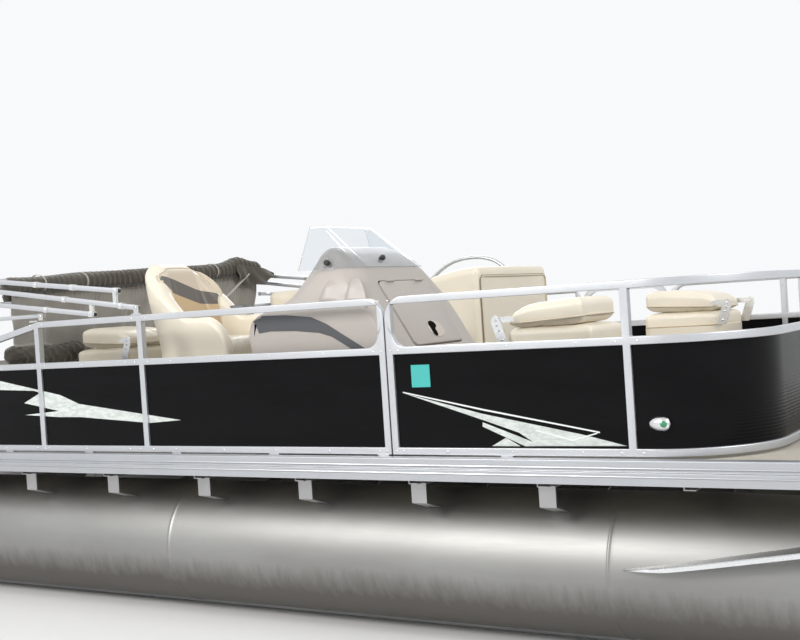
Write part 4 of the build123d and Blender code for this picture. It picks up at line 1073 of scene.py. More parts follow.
def addConsole():
    shape = consoleShape
    heights = np.linspace(-0.008, 0.940, shape["rings"])
    heights = np.unique(np.concatenate([heights, [0.06, 0.44, 0.62, 0.885, 0.91, 0.925, 0.935]]))
    outer = consoleRings(0.0, heights)
    inner = consoleRings(shape["wall"], np.minimum(heights, 0.930))[::-1]
    rows, count = len(heights), outer.shape[1]
    points = np.concatenate([outer, inner]).reshape(-1, 3)
    second = np.array(gridFaces(rows, count, True)) + rows * count
    faces = gridFaces(rows, count, True) + second.tolist()
    faces.append(list(range((rows - 1) * count, rows * count)))
    faces.append(list(range(rows * count, rows * count + count))[::-1])
    last = 2 * rows * count - count
    faces += [[last + k, last + (k + 1) % count, (k + 1) % count, k] for k in range(count)]
    shell = newPiece("consoleShell", points, faces, "console_white", "hull", "console_white", 30,
                     ["console_shell"])
    low, high = shape["doorSpan"]
    middle = (low + high) / 2
    run = slopePoint(1, 0) - slopePoint(0, 0)
    centre = slopePoint(shape["doorStart"] + shape["doorLength"] / 2, middle, -0.03)
    hole = roundedOutline(high - low, shape["doorLength"], 0.030)
    cutOpening(shell, *slab(hole, centre, (0, 1, 0), -run, 0.06))
    shell.data.set_sharp_from_angle(angle=math.radians(30))
    shell.data.materials.clear()
    shell.data.materials.append(finish["console_white"])
    # door: a rounded lid with a recessed latch and its two hinge knuckles
    lid = roundedOutline(high - low - 0.010, shape["doorLength"] - 0.010, 0.027)
    face = slopePoint(shape["doorStart"] + shape["doorLength"] / 2, middle, -0.008)
    parts = [pillow(lid, face, (0, 1, 0), -run, 0.0158, 0.007)]
    for spot in (-0.13, 0.13):
        line = np.array([slopePoint(shape["doorStart"] + 0.010, middle + spot + t,
                                    0.012) for t in (-0.035, 0, 0.035)])
        parts.append(sweep(line, roundProfile(0.005, 10), (0, 0, 1)))
    newPiece("consoleDoor", *joined(parts), "console_white", "console_hatch", "console_white", 30,
             ["console_door"])
    spot = slopePoint(shape["doorStart"] + shape["doorLength"] - 0.082, middle + 0.030, 0.0076)
    t = np.linspace(0, 2 * math.pi, 32, False)
    oval = np.stack([0.070 * np.cos(t), 0.046 * np.sin(t)], -1)
    newPiece("latchDish", *pillow(oval, spot, (0, 1, 0), -run, 0.0020, 0.004),
             moulded("latchRecess", (0.56, 0.50, 0.45)), "console_hatch", "console_white")
    lip = spot + oval[:, :1] * np.array([0, 1.0, 0]) - oval[:, 1:] * run
    newPiece("latchLip", *weltLoop(lip, 0.0022), "console_white", "console_hatch", "console_white", 180)
    # the latch's slot: a flat black comma on the dish, painted shade of its opening
    head = np.stack([-0.020 + 0.031 * np.cos(t), 0.020 + 0.021 * np.sin(t)], -1)
    tail = np.array([(-0.048, 0.012), (-0.012, 0.006), (-0.014, -0.030), (-0.024, -0.041), (-0.040, -0.041),
                     (-0.050, -0.030)])
    lift = slopePoint(0, 0, 0.0022) - slopePoint(0, 0, 0)
    dark = [slab(part, spot + lift, (0, 1, 0), -run, 0.0014) for part in (head, tail[::-1])]
    # near black, matt and almost without gloss: painted shade, for the slot and the notch
    shade = moulded("slotAndNotchShade", (0.008, 0.007, 0.006), 0.95, 0.0)
    shade.node_tree.nodes["Principled BSDF"].inputs["Specular IOR Level"].default_value = 0.05
    newPiece("latchSlotShade", *joined(dark), shade, "console_hatch", "dark_plastic")
    # charcoal band laid on the starboard side and round its aft corner, a notch of painted shade under its end
    charcoal = moulded("charcoalBand", (0.075, 0.078, 0.085), 0.42, 0.1)
    newPiece("consoleBand", *bandSheet(shape["bandTop"], shape["bandFoot"], 0.0020), charcoal, "hull",
             "console_white", 60)
    newPiece("bandNotchShade", *bandSheet(shape["notchTop"], shape["notchFoot"], 0.0026), shade, "hull",
             "console_white", 60)
    newPiece("consoleFins", *joined([finRidge(*fin) for fin in shape["fins"]]), "console_white", "hull",
             "console_white", 60)
    # windscreen with a pale rim and two black knobs
    softenedCopy("windscreen", 0.0015)
    middleY = -0.765
    bend = np.radians(np.linspace(0, 90, 10))
    x, y = np.append(3.650, 3.662 + 0.049 * np.sin(bend)), np.append(0.234, 0.185 + 0.049 * np.cos(bend))
    path = np.stack([at(np.append(x, x[::-1])), np.append(-y, y[::-1]) + middleY, np.full(22, up(1.043))], -1)
    rims = [sweep(path, roundProfile(0.0032, 8))]
    for sign in (-1, 1):
        path = np.array([(at(3.640 + 0.010 * t), middleY + sign * (0.337 - 0.103 * t),
                          up(0.837 + 0.206 * t)) for t in (0, 0.5, 1)])
        rims.append(sweep(path, roundProfile(0.0028, 8), (0, 1, 0)))
    newPiece("screenRim", *joined(rims), clearSheet("rimAcrylic", (0.93, 0.95, 0.95)), "hull",
             "clear_acrylic")
    knobs = []
    for place, way in (((1.236, -1.092, 0.866), (0, -1, 0)), ((1.342, -0.800, 0.880), (1, 0, 0.2)),
                       ((1.236, -0.438, 0.866), (0, 1, 0))):
        middle, way = np.array([place[0], place[1], up(place[2])]), np.array(way, float)
        line = middle + way * np.array([-0.010, 0.004, 0.0045, 0.016, 0.020])[:, None]
        knobs.append(sweep(line, roundProfile(0.0125, 14), (0.01, 0.02, 1), scale=[0.6, 0.6, 1.1, 1.0, 0.7]))
    newPiece("screenKnobs", *joined(knobs), "dark_plastic", "hull", "dark_plastic")
    addDash()
    print("console is in")


dash = {
    "foot": (3.566, 0.715), "head": (3.634, 0.797), "middle": -0.765, "size": (0.112, 0.50), "switches": 6,
    "gauges": ((-0.19, 0.030), (-0.065, 0.038), (0.065, 0.038), (0.19, 0.030)),  # across, radius
    "hand": ((-0.002, -0.004), (0.002, -0.004), (0.0008, 0.026), (-0.0008, 0.026)), "throttleY": -0.470,
}


def addDash():
    # the helm's face on the aft slope of the hood: a dark panel, gauges, switches and a throttle
    d = dash
    low, high = (np.array([at(s), d["middle"], up(h)]) for s, h in (d["foot"], d["head"]))
    run, across = (high - low) / np.linalg.norm(high - low), np.array([0, 1, 0])
    normal = np.cross(run, across)
    centre = (low + high) / 2 + normal * 0.004
    face = pillow(roundedOutline(*d["size"], 0.03), centre, run, across, 0.006, 0.004)
    newPiece("dashPanel", *face, "dark_plastic", "hull", "dark_plastic")
    rims, dials, switches = [], [], []
    for y, radius in d["gauges"]:
        spot = centre + across * y + normal * 0.005 + run * 0.010
        circle = roundProfile(radius, 28)
        rims.append(pillow(circle, spot, run, across, 0.008, 0.006))
        rims.append(slab(d["hand"], spot + normal * 0.0092, run, across, 0.0008))
        dials.append(pillow(circle * 0.80, spot + normal * 0.0075, run, across, 0.0016, 0.002))
    for y in np.linspace(-0.2, 0.2, d["switches"]):
        spot = centre + across * y + normal * 0.006 - run * 0.038
        switches.append(pillow(roundedOutline(0.018, 0.034, 0.005), spot, run, across, 0.008, 0.004))
    newPiece("gaugeRims", *joined(rims), "stainless", "hull", "dark_plastic")
    newPiece("gaugeFaces", *joined(dials), moulded("gaugeFace", (0.015, 0.017, 0.02), 0.15, 0.5), "hull",
             "dark_plastic")
    newPiece("dashSwitches", *joined(switches), moulded("switchGrey", (0.16, 0.16, 0.17), 0.4), "hull",
             "dark_plastic")
    y = d["throttleY"]
    lever = pathOf([(at(3.440), y, up(0.690)), (at(3.455), y, up(0.760)), (at(3.430), y, up(0.800))], 0.02)
    grip = np.array([(at(3.430), y + t, up(0.803)) for t in (-0.028, 0, 0.030)])
    parts = [tub((at(3.455), y, up(0.683)), (0.045, 0.030, 0.034), 0.4),
             sweep(lever, roundProfile(0.008, 12), (0, 1, 0)),
             sweep(grip, roundProfile(0.014, 14), scale=[0.85, 1.1, 0.85])]
    newPiece("throttle", *joined(parts), "dark_plastic", "hull", "dark_plastic")
    addWheel()


helmWheel = {
    "hub": (3.270, -0.725, 0.540), "tilt": 30.0, "radius": 0.165, "rim": 0.0128, "grips": 36, "spokes": 3,
    "boss": ((3.362, 0.480), (3.345, 0.490), (3.330, 0.499)),
}


def addWheel():
    # a gripped rim, dished spokes, a column and a cap, and the boss on the console that carries them
    w = helmWheel
    boss = np.array([(at(s), w["hub"][1], up(h)) for s, h in w["boss"]])
    bossSkin = sweep(boss, roundProfile(0.030, 20), (0, 1, 0), [1.2, 1.1, 0.75])
    newPiece("wheelBoss", *bossSkin, "dark_plastic", "hull", "dark_plastic")
    hub = np.array([at(w["hub"][0]), w["hub"][1], up(w["hub"][2])])
    tilt = math.radians(w["tilt"])
    axis, across = np.array([-math.cos(tilt), 0, math.sin(tilt)]), np.array([0, 1.0, 0])
    rise = np.cross(across, axis)
    turn = np.linspace(0, 2 * math.pi, 96, endpoint=False)
    rim = hub + w["radius"] * (np.cos(turn)[:, None] * across + np.sin(turn)[:, None] * rise)
    grips = 1 + 0.035 * np.cos(turn * w["grips"])
    parts = [closedSweep(rim, roundProfile(w["rim"], 12), axis, grips)]
    t = np.linspace(0, 1, 8)[:, None]
    for k in range(w["spokes"]):
        angle = math.pi / 2 + 2 * math.pi * k / w["spokes"]
        out = np.cos(angle) * across + np.sin(angle) * rise
        spoke = hub + out * (0.02 + 0.142 * t) - axis * 0.010 * (1 - t) ** 2
        parts.append(sweep(spoke, roundProfile(1.0, 10) * (0.013, 0.005), axis, 1.15 - 0.3 * t[:, 0]))
    column, cap = (hub + axis * np.array(steps)[:, None] for steps in ((0.012, -0.012, -0.05, -0.080),
                                                                       (-0.011, 0.004, 0.0115)))
    parts.append(sweep(column, roundProfile(0.014, 14), (0, 1, 0)))
    parts.append(sweep(cap, roundProfile(0.038, 24), (0, 1, 0), [1.0, 1.0, 0.7]))
    newPiece("steeringWheel", *joined(parts), "dark_plastic", "helm_wheel", "dark_plastic", 50,
             ["steering_wheel"])


stuffing = {"pressure": 4.0, "steps": 18, "inset": 0.6}


def stuffed(piece, swell, voxel):
    # the pad as cloth under pressure: it starts a little small, on an even mesh, and no point leaves its start
    # by more than swell
    scene = bpy.context.scene
    work = bpy.data.objects.new(piece.name + "Work", piece.data.copy())
    scene.collection.objects.link(work)
    even = work.modifiers.new("even", "REMESH")
    even.mode = "VOXEL"
    even.voxel_size = voxel
    bpy.context.view_layer.update()
    mesh = bpy.data.meshes.new_from_object(work.evaluated_get(bpy.context.evaluated_depsgraph_get()))
    work.modifiers.clear()
    work.data = mesh
    count = len(mesh.vertices)
    start, normals = np.empty(count * 3, np.float32), np.empty(count * 3, np.float32)
    mesh.vertices.foreach_get("co", start)
    mesh.vertices.foreach_get("normal", normals)
    start = start - normals * swell * stuffing["inset"]
    mesh.vertices.foreach_set("co", start)
    mesh.update()
    air = work.modifiers.new("air", "CLOTH")
    air.settings.use_pressure = True
    air.settings.uniform_pressure_force = stuffing["pressure"]
    air.settings.effector_weights.gravity = 0.0
    air.point_cache.frame_start = 1
    air.point_cache.frame_end = stuffing["steps"]
    for step in range(1, stuffing["steps"] + 1):
        scene.frame_set(step)
    blown = work.evaluated_get(bpy.context.evaluated_depsgraph_get()).to_mesh()
    end = np.empty(count * 3, np.float32)
    blown.vertices.foreach_get("co", end)
    moved = (end - start).reshape(-1, 3)
    far = np.linalg.norm(moved, axis=1)[:, None]
    moved = moved * np.minimum(1.0, swell / np.maximum(far, 1e-9))
    mesh.vertices.foreach_set("co", (start.reshape(-1, 3) + moved).ravel())
    mesh.update()
    mesh.polygons.foreach_set("use_smooth", np.ones(len(mesh.polygons), bool))
    mesh.materials.clear()
    mesh.materials.append(piece.data.materials[0])
    piece.data = mesh
    bpy.data.objects.remove(work)
    scene.frame_set(1)


def hugged(piece, loop):
    # the loop drawn in to the pad: each point moves by the way to the pad's nearest point, averaged over its
    # neighbours along the loop
    points = np.empty(len(piece.data.vertices) * 3, np.float32)
    piece.data.vertices.foreach_get("co", points)
    away = points.reshape(1, -1, 3) - np.asarray(loop, float)[:, None]
    nearest = (away ** 2).sum(-1).argmin(1)
    way = away[np.arange(len(loop)), nearest]
    way = sum(np.roll(way, k, 0) for k in (-2, -1, 0, 1, 2)) / 5
    return loop + way


def padPiece(name, centre, half, radius, crown, body, n=22, replaced=None):
    # one padded box: padPoints on a cube's lattice, set at its centre
    unit, faces = cubeLattice(n)
    points = padPoints(unit, half, radius, crown, 0.02) + np.asarray(centre, float)
    return newPiece(name, points, faces, "beige_vinyl", body, "beige_vinyl", 180, replaced)


helmChair = {
    "at": (2.800, -0.725), "arm": 0.226, "front": 0.285, "backX": -0.204, "corner": 0.112, "low": 0.425,
    "reach": 0.664,
    "armTop": 0.655, "backTop": 0.953, "thick": 0.064, "thin": 0.032, "lean": 0.30, "frontTurn": 0.150,
    "narrow": 0.22,
    "wave": (((-0.893, 0.894), (-0.800, 0.868), (-0.800, 0.782), (-0.886, 0.817), (-0.8925, 0.829),
              (-0.900, 0.849),
              (-0.9015, 0.864)),
             ((-0.800, 0.868), (-0.650, 0.812), (-0.650, 0.732), (-0.800, 0.782)),
             ((-0.650, 0.812), (-0.470, 0.762), (-0.470, 0.716), (-0.650, 0.732))),
    "tan": (((-1.020, 0.872), (-0.800, 0.782), (-0.800, 0.480), (-1.020, 0.480)),
            ((-0.800, 0.782), (-0.650, 0.732), (-0.650, 0.480), (-0.800, 0.480)),
            ((-0.650, 0.732), (-0.470, 0.716), (-0.470, 0.480), (-0.650, 0.480))),
}


def bucketPoint(t, height, depth):
    # a point of the helm chair's shell: t runs along its U-shaped plan from the middle of the back, depth
    # goes from -1 on the inner face to 1 on the outer; the back leans aft, thickens and narrows as it rises
    c = helmChair
    x0, y0 = at(c["at"][0]), c["at"][1]
    plan = pathOf([(c["front"], -c["arm"], 0), (c["backX"], -c["arm"], 0), (c["backX"], c["arm"], 0),
                   (c["front"], c["arm"], 0)], c["corner"], 24)
    length = np.concatenate([[0], np.cumsum(np.linalg.norm(np.diff(plan, axis=0), axis=1))])
    s = np.asarray(t) + length[-1] / 2
    px, py = np.interp(s, length, plan[:, 0]), np.interp(s, length, plan[:, 1])
    ahead = [np.interp(s + d, length, plan[:, k]) for d in (-0.006, 0.006) for k in (0, 1)]
    dx, dy = ahead[2] - ahead[0], ahead[3] - ahead[1]
    size = np.hypot(dx, dy)
    share = bucketShare(t)
    half = c["thin"] + (c["thick"] - c["thin"]) * share
    out = c["thin"] - half + half * depth
    x = px + dy / size * out * -1
    y = py + dx / size * out
    rise = np.clip(height - 0.5, 0, 1)
    x = x - c["lean"] * rise * share
    y = y * (1 - c["narrow"] * share * np.clip((height - 0.70) / 0.25, 0, 1) ** 2)
    return np.stack(np.broadcast_arrays(x0 + x, y0 + y, up(height)), -1)


def bucketShare(t):
    # 1 on the back and 0 on the arms, by a smooth step of the distance along the plan
    u = np.clip(1 - (np.abs(t) - 0.135) / 0.285, 0, 1)
    return u * u * (3 - 2 * u)


def bucketTop(t):
    # the upper edge: the back's height falling to the arms', then a quarter ellipse down each arm's front
    c = helmChair
    top = c["armTop"] + (c["backTop"] - c["armTop"]) * bucketShare(t)
    fall = np.clip(1 - (c["reach"] - np.abs(t)) / c["frontTurn"], 0, 1)
    return top - (1 - np.sqrt(np.clip(1 - fall ** 2, 0, 1))) * (top - c["low"]) * 0.97


def bucketWall():
    # upright sections along the plan, up the outer face and down the inner, with a full round on the upper
    # edge and on each arm's front
    c = helmChair
    t = c["reach"] * np.sin(np.linspace(-math.pi / 2, math.pi / 2, 161))
    top = bucketTop(t)[:, None]
    v = np.sin(np.linspace(0, math.pi / 2, 26))[None]
    height = c["low"] + (top - c["low"]) * v
    half = (c["thin"] + (c["thick"] - c["thin"]) * bucketShare(t))[:, None]
    near = np.clip((top - height) / half, 0, 1)
    cap = np.sqrt(np.clip(1 - (1 - near) ** 2, 0, 1))
    tip = np.sqrt(np.clip(1 - np.clip(1 - (c["reach"] - np.abs(t)) / 0.030, 0, 1) ** 2, 0, 1))[:, None]
    outer = bucketPoint(t[:, None], height, cap * (0.15 + 0.85 * tip))
    inner = bucketPoint(t[:, None], height[:, ::-1], -(cap * (0.15 + 0.85 * tip))[:, ::-1])
    ring = np.concatenate([outer, inner[:, 1:]], 1)
    return ring.reshape(-1, 3), tubeFaces(*ring.shape[:2])


def addHelmChair():
    c = helmChair
    x0, y0 = at(c["at"][0]), c["at"][1]
    bucket = newPiece("helmBucket", *bucketWall(), "beige_vinyl", "helm_seat", "beige_vinyl", 60,
                      ["helm_chair"])
    # inner panel: a pad on the back's face with a charcoal wave over tan
    paint = Paint("helmInsert", (0.58, 0.53, 0.45), 0.0, 0.45, 0.1)
    base = paint.noise(6.0, 4.0)
    colour = paint.mix(base, (0.60, 0.52, 0.41), (0.68, 0.59, 0.47))
    layers = ((c["tan"], (0.58, 0.43, 0.25)), (c["wave"], (0.125, 0.112, 0.098)))
    paint.colour(painted(paint, colour, layers, 0.002, True))
    paint.bump(paint.noise(380.0, 2.0), 0.2, 0.0006)
    u, v = np.meshgrid(np.linspace(-1, 1, 61), np.linspace(-1, 1, 61), indexing="ij")
    t = np.where(u > 0, 0.298, 0.274) * u * np.sqrt(1 - 0.42 * np.clip(v, 0, 1) ** 2.5)
    height = 0.717 + v * 0.214 * np.sqrt(1 - 0.26 * np.abs(u) ** 3)
    swell = np.clip(np.minimum(1 - np.abs(u), 1 - np.abs(v)) / 0.09, 0, 1) ** 0.5
    half = c["thin"] + (c["thick"] - c["thin"]) * bucketShare(t)
    near = np.clip((bucketTop(t) - height) / half, 0, 1)
    cap = np.sqrt(1 - (1 - near) ** 2)
    sides = thinSheet(bucketPoint(t, height, -cap - 0.02 - 0.14 * swell), bucketPoint(t, height, -cap + 0.25),
                      True)
    insert = newPiece("helmInsert", *sides, paint.material, "helm_seat", "beige_vinyl", 50)
    cord = bucketPoint(t, height, -cap - 0.03).reshape(-1, 3)[rimOf(61, 61)[::-1]]
    newPiece("helmPiping", *weltLoop(cord, 0.0042), "welt", "helm_seat", "beige_vinyl", 180)
    cushion = padPiece("helmCushion", (x0 + 0.045, y0, up(0.482)), (0.222, 0.188, 0.050), 0.040, 0.016,
                       "helm_seat")
    stuffed(cushion, 0.008, 0.010)
    newPiece("helmBase", *tub((x0 + 0.010, y0, up(0.432)), (0.245, 0.245, 0.020), 0.25), "seat_base_plastic",
             "helm_seat", "seat_base_plastic")
    newPiece("helmSwivel", *tub((x0, y0, up(0.404)), (0.090, 0.090, 0.0085), 0.2), "stainless", "helm_seat",
             "seat_base_plastic")
    tray = tub((x0 - 0.020, y0 + c["arm"] + 0.004, up(0.694)), (0.050, 0.040, 0.016), 0.6)
    # the cup hole: a flat dark disc on the tray, painted shade of the hole's inside
    cupHoleShadeDisc = sweep(np.array([(x0 - 0.020, y0 + c["arm"] + 0.004, up(z)) for z in (0.711, 0.7115)]),
                roundProfile(0.030, 20), (0, 1, 0))
    newPiece("cupTray", *tray, moulded("trayGrey", (0.20, 0.21, 0.23), 0.4), "helm_seat", "seat_base_plastic")
    newPiece("cupHoleShade", *cupHoleShadeDisc, "dark_plastic", "helm_seat", "seat_base_plastic")
    print("helm chair is in")


fishingChairs = {
    "narrow": 0.93,
    # name, station, y, facing, and where the folded back and the seat cushion start and end along the chair
    "spots": (("starboard_bow", 4.806, -0.770, 0.0, (-0.180, 0.190), (-0.186, 0.226)),
              ("port_bow", 4.972, 0.620, 180.0, (-0.176, 0.238), (-0.186, 0.242)),
              ("stern", 2.010, -0.590, 180.0, (-0.200, 0.178), (-0.200, 0.212))),
    "backRows": ((-0.230, 0.052, 0.100), (-0.190, 0.050, 0.118), (-0.120, 0.050, 0.138),
                 (0.040, 0.052, 0.153),
                 (0.150, 0.055, 0.159), (0.205, 0.060, 0.160), (0.245, 0.064, 0.158)),
    "pivot": (-0.216, 0.556), "plate": ((-0.240, 0.545), (-0.236, 0.566), (-0.222, 0.577), (-0.206, 0.573),
                                        (-0.196, 0.556),
                                        (-0.160, 0.446), (-0.206, 0.446), (-0.226, 0.500)),
}


def foldedPad():
    # a pad whose under and upper sides follow the rows along its length: z = middle(x) + unit z * half(x)
    unit, faces = cubeLattice(24)
    rows = np.array(fishingChairs["backRows"])
    x0, x1 = rows[0, 0], rows[-1, 0]
    half = (x1 - x0) / 2
    points = padPoints(unit, (half, 0.212, 0.050), 0.030, 0.003, 0.012)
    x = points[:, 0] + (x0 + x1) / 2
    low, high = smoothLine(x, rows[:, 0], rows[:, 1]), smoothLine(x, rows[:, 0], rows[:, 2])
    crease = 0.003 * np.exp(-((np.abs(points[:, 1]) - 0.168) / 0.005) ** 2) * (points[:, 2] > 0.02)
    z = (low + high) / 2 + points[:, 2] / 0.050 * (high - low) / 2 - crease
    return np.stack([x, points[:, 1], z], -1), faces


def addFishingChairs():
    value = fishingChairs
    low, high = value["backRows"][0][0], value["backRows"][-1][0]
    for name, station, y, facing, backSpan, seatSpan in value["spots"]:
        def placed(part, span=None, ends=(low, high)):
            # stretched along the chair from its ends to the span, narrowed, turned and set on the pedestal
            points, faces = part
            points = np.asarray(points, float) * (1, value["narrow"], 1)
            if span is not None:
                points[:, 0] = span[0] + (points[:, 0] - ends[0]) * (span[1] - span[0]) / (ends[1] - ends[0])
            return turned(points, facing) + np.array([at(station), y, 0]), faces

        def chairPiece(label, part, material, body, sharp=38.0, replaced=None):
            return newPiece(name + label, *part, material, body, "seat_base_plastic", sharp, replaced)

        seat, back = name + "_seat", name + "_back"
        ends = (-0.215, 0.245)
        pan = tub((0.015, 0, up(0.412)), (0.226, 0.210, 0.030), 0.22)
        chairPiece("Pan", placed(pan, seatSpan, ends), "seat_base_plastic", seat,
                   replaced=[name + "_chair_seat"])
        unit, faces = cubeLattice(20)
        cushion = padPoints(unit, (0.230, 0.214, 0.042), 0.024, 0.008,
                            0.012) + np.array([0.015, 0, up(0.470)])
        cushion = chairPiece("Cushion", placed((cushion, faces), seatSpan, ends), "beige_vinyl", seat, 180)
        stuffed(cushion, 0.007, 0.009)
        loop = flatLoop(0.458, 0.426, 0.036, up(0.442)) + np.array([0.015, 0, 0])
        loop = hugged(cushion, placed((loop, []), seatSpan, ends)[0])
        chairPiece("SeatWelt", weltLoop(loop, 0.0036), "welt", seat, 180)
        pad, padFaces = foldedPad()
        pad = placed((pad + np.array([0, 0, up(0.470)]), padFaces), backSpan)
        folded = chairPiece("Back", pad, "beige_vinyl", back, 180, [name + "_chair_back"])
        stuffed(folded, 0.009, 0.009)
        rows = np.array(value["backRows"])
        edge = roundedOutline(0.477, 0.426, 0.045, 8) + np.array([0.0075, 0])
        lower, upper = smoothLine(edge[:, 0], rows[:, 0],
                                  rows[:, 1]), smoothLine(edge[:, 0], rows[:, 0], rows[:, 2])
        cord = np.concatenate([edge, (up(0.470) + lower + 0.20 * (upper - lower))[:, None]], 1)
        cord = hugged(folded, placed((cord, []), backSpan)[0])
        chairPiece("BackWelt", weltLoop(cord, 0.0036), "welt", back, 180)
        # steel hinge plates on the seat, arms from the pivots into the folded back, and their rivets
        plates, arms, rivets, normals = [], [], [], []
        px, pz = value["pivot"]
        reach = backSpan[0] + 0.050
        for sign in (-1, 1):
            side = sign * 0.2218 / value["narrow"] * 0.95
            outline = [(x, up(z)) for x, z in value["plate"]]
            plates.append(slab(outline, (0, side + 0.0018, 0), (1, 0, 0), (0, 0, 1), 0.0036))
            arm = [(px - 0.012, up(pz)), (px, up(pz + 0.013)), (reach - 0.03, up(0.572)), (reach, up(0.560)),
                   (reach, up(0.548)),
                   (px, up(pz - 0.013))]
            arms.append(slab(arm, (0, side - sign * 0.0045 + 0.0012, 0), (1, 0, 0), (0, 0, 1), 0.0024))
            for x, z in ((px, pz), (px + 0.004, 0.535), (px + 0.012, 0.512), (px + 0.026, 0.470)):
                rivets.append((x, side + sign * 0.0016, up(z)))
                normals.append((0, sign, 0))
        chairPiece("HingePlates", placed(joined(plates)), "bright_sheet", seat)
        chairPiece("HingeArms", placed(joined(arms)), "bright_sheet", back)
        chairPiece("HingeRivets", placed(domes(rivets, normals, 0.0055)), "stainless", seat, 60)
        chairPiece("Swivel", placed(tub((0, 0, up(0.371)), (0.090, 0.090, 0.0095), 0.2)), "stainless", seat)
    print("fishing chairs are in")


lounge = {
    "span": (1.530, 3.527), "gap": 0.003, "backFrom": 1.790, "backs": 3, "seat": (0.7915, 0.398),
    "seatHalf": (0.2015, 0.067),
    "back": (1.068, 0.572), "backHalf": (0.070, 0.238), "end": (1.1345, 0.6915, 0.5845),
    "endHalf": (0.1715, 0.4465, 0.2530),
    "arch": ((0.520, 0.800), (0.600, 0.860), (0.680, 0.900), (0.760, 0.9185), (0.840, 0.923), (0.920, 0.914),
             (1.000, 0.884),
             (1.060, 0.835), (1.085, 0.800)),
}


def addLounge():
    softenedCopy("lounge_base", 0.010)
    x0, x1 = (at(s) for s in lounge["span"])
    middle, gap = (x0 + x1) / 2, lounge["gap"]
    welts, seamShadeCords = [], []
    for index, (low, high) in enumerate(((x0, middle - gap), (middle + gap, x1))):
        centre = ((low + high) / 2, lounge["seat"][0], up(lounge["seat"][1]))
        half = ((high - low) / 2, *lounge["seatHalf"])
        stands = ["lounge_seats"] if index == 0 else None
        pad = padPiece("loungeSeat%d" % index, centre, half, 0.040, 0.014, "hull", 26, stands)
        stuffed(pad, 0.009, 0.012)
        loop = flatLoop(2 * half[0] - 0.006, 2 * half[1] - 0.004, 0.030,
                        up(0.440)) + np.array([centre[0], centre[1], 0])
        welts.append(weltLoop(hugged(pad, loop)))
    step = (x1 - at(lounge["backFrom"])) / lounge["backs"]
    for index in range(lounge["backs"]):
        centre = (at(lounge["backFrom"]) + step * (index + 0.5), lounge["back"][0], up(lounge["back"][1]))
        half = (step / 2 - 0.002, *lounge["backHalf"])
        stands = ["lounge_back"] if index == 0 else None
        pad = padPiece("loungeBack%d" % index, centre, half, 0.045, 0.010, "hull", 24, stands)
        stuffed(pad, 0.008, 0.012)
    # end back: a tall rounded box, welted round its forward face
    unit, faces = cubeLattice(34)
    half = np.array(lounge["endHalf"])
    points = padPoints(unit, half, 0.040, 0.004, 0.004)
    aft = np.clip((half[0] - points[:, 0]) / (2 * half[0]), 0, 1)
    high = np.clip((points[:, 2] + half[2]) / (2 * half[2]), 0, 1)
    points[:, 2] -= 0.050 * aft ** 2 * high
    x, y, height = lounge["end"]
    points += (x, y, up(height))
    endBack = newPiece("loungeEndBack", points, faces, "beige_vinyl", "hull", "beige_vinyl", 180,
                       ["lounge_end_back"])
    # a welt round the face, and a thin dark cord just outside it: painted shade of the seam's groove
    for width, height, out, radius, into in ((0.846, 0.420, 0.0015, 0.0050, welts),
                                             (0.856, 0.430, -0.0005, 0.0034, seamShadeCords)):
        flat = roundedOutline(width, height, 0.035, 8)
        face = np.stack([np.full(len(flat), 1.306 + out), 0.690 + flat[:, 0], up(0.572) + flat[:, 1]], -1)
        into.append(closedSweep(face, roundProfile(radius, 8), (1, 0.01, 0.013)))
    newPiece("loungeSeamShade", *joined(seamShadeCords), "seam", "hull", "beige_vinyl", 180)
    newPiece("loungeWelts", *joined(welts), "welt", "hull", "beige_vinyl", 180)
    arch = np.array(lounge["arch"])
    t = np.linspace(arch[0, 0], arch[-1, 0], 40)
    path = np.stack([t, np.full(40, 1.075), up(smoothLine(t, arch[:, 0], arch[:, 1]))], -1)
    newPiece("loungeGrabRail", *sweep(path, roundProfile(0.0115, 14), (0, 1, 0)), "anodised_rail", "hull",
             "anodised_rail")
    print("lounge is in")


canopy = {
    "bows": (((2.722, 0.723), (1.610, 0.880)), ((2.601, 0.815), (1.640, 0.928)),
             ((2.422, 0.705), (1.660, 0.800))),
    "y": 1.212, "tube": 0.0124, "strut": ((1.984, 0.720), (1.104, 0.720)), "strutY": 1.164,
    "bootAt": 1.640, "bootHalf": 1.118, "bootSize": (0.072, 0.056), "bootTop": (0.994, 0.0376),
    "curtain": (1.618, 0.540),
    "straps": (-0.88, -0.56, 0.62), "curtainFlat": (2.35, 0.386), "flapFlat": (0.42, 0.112), "cloth": 0.0035,
}


def bootTop(y):
    # the sleeve's crest, which rises to port
    return canopy["bootTop"][0] + canopy["bootTop"][1] * np.asarray(y)


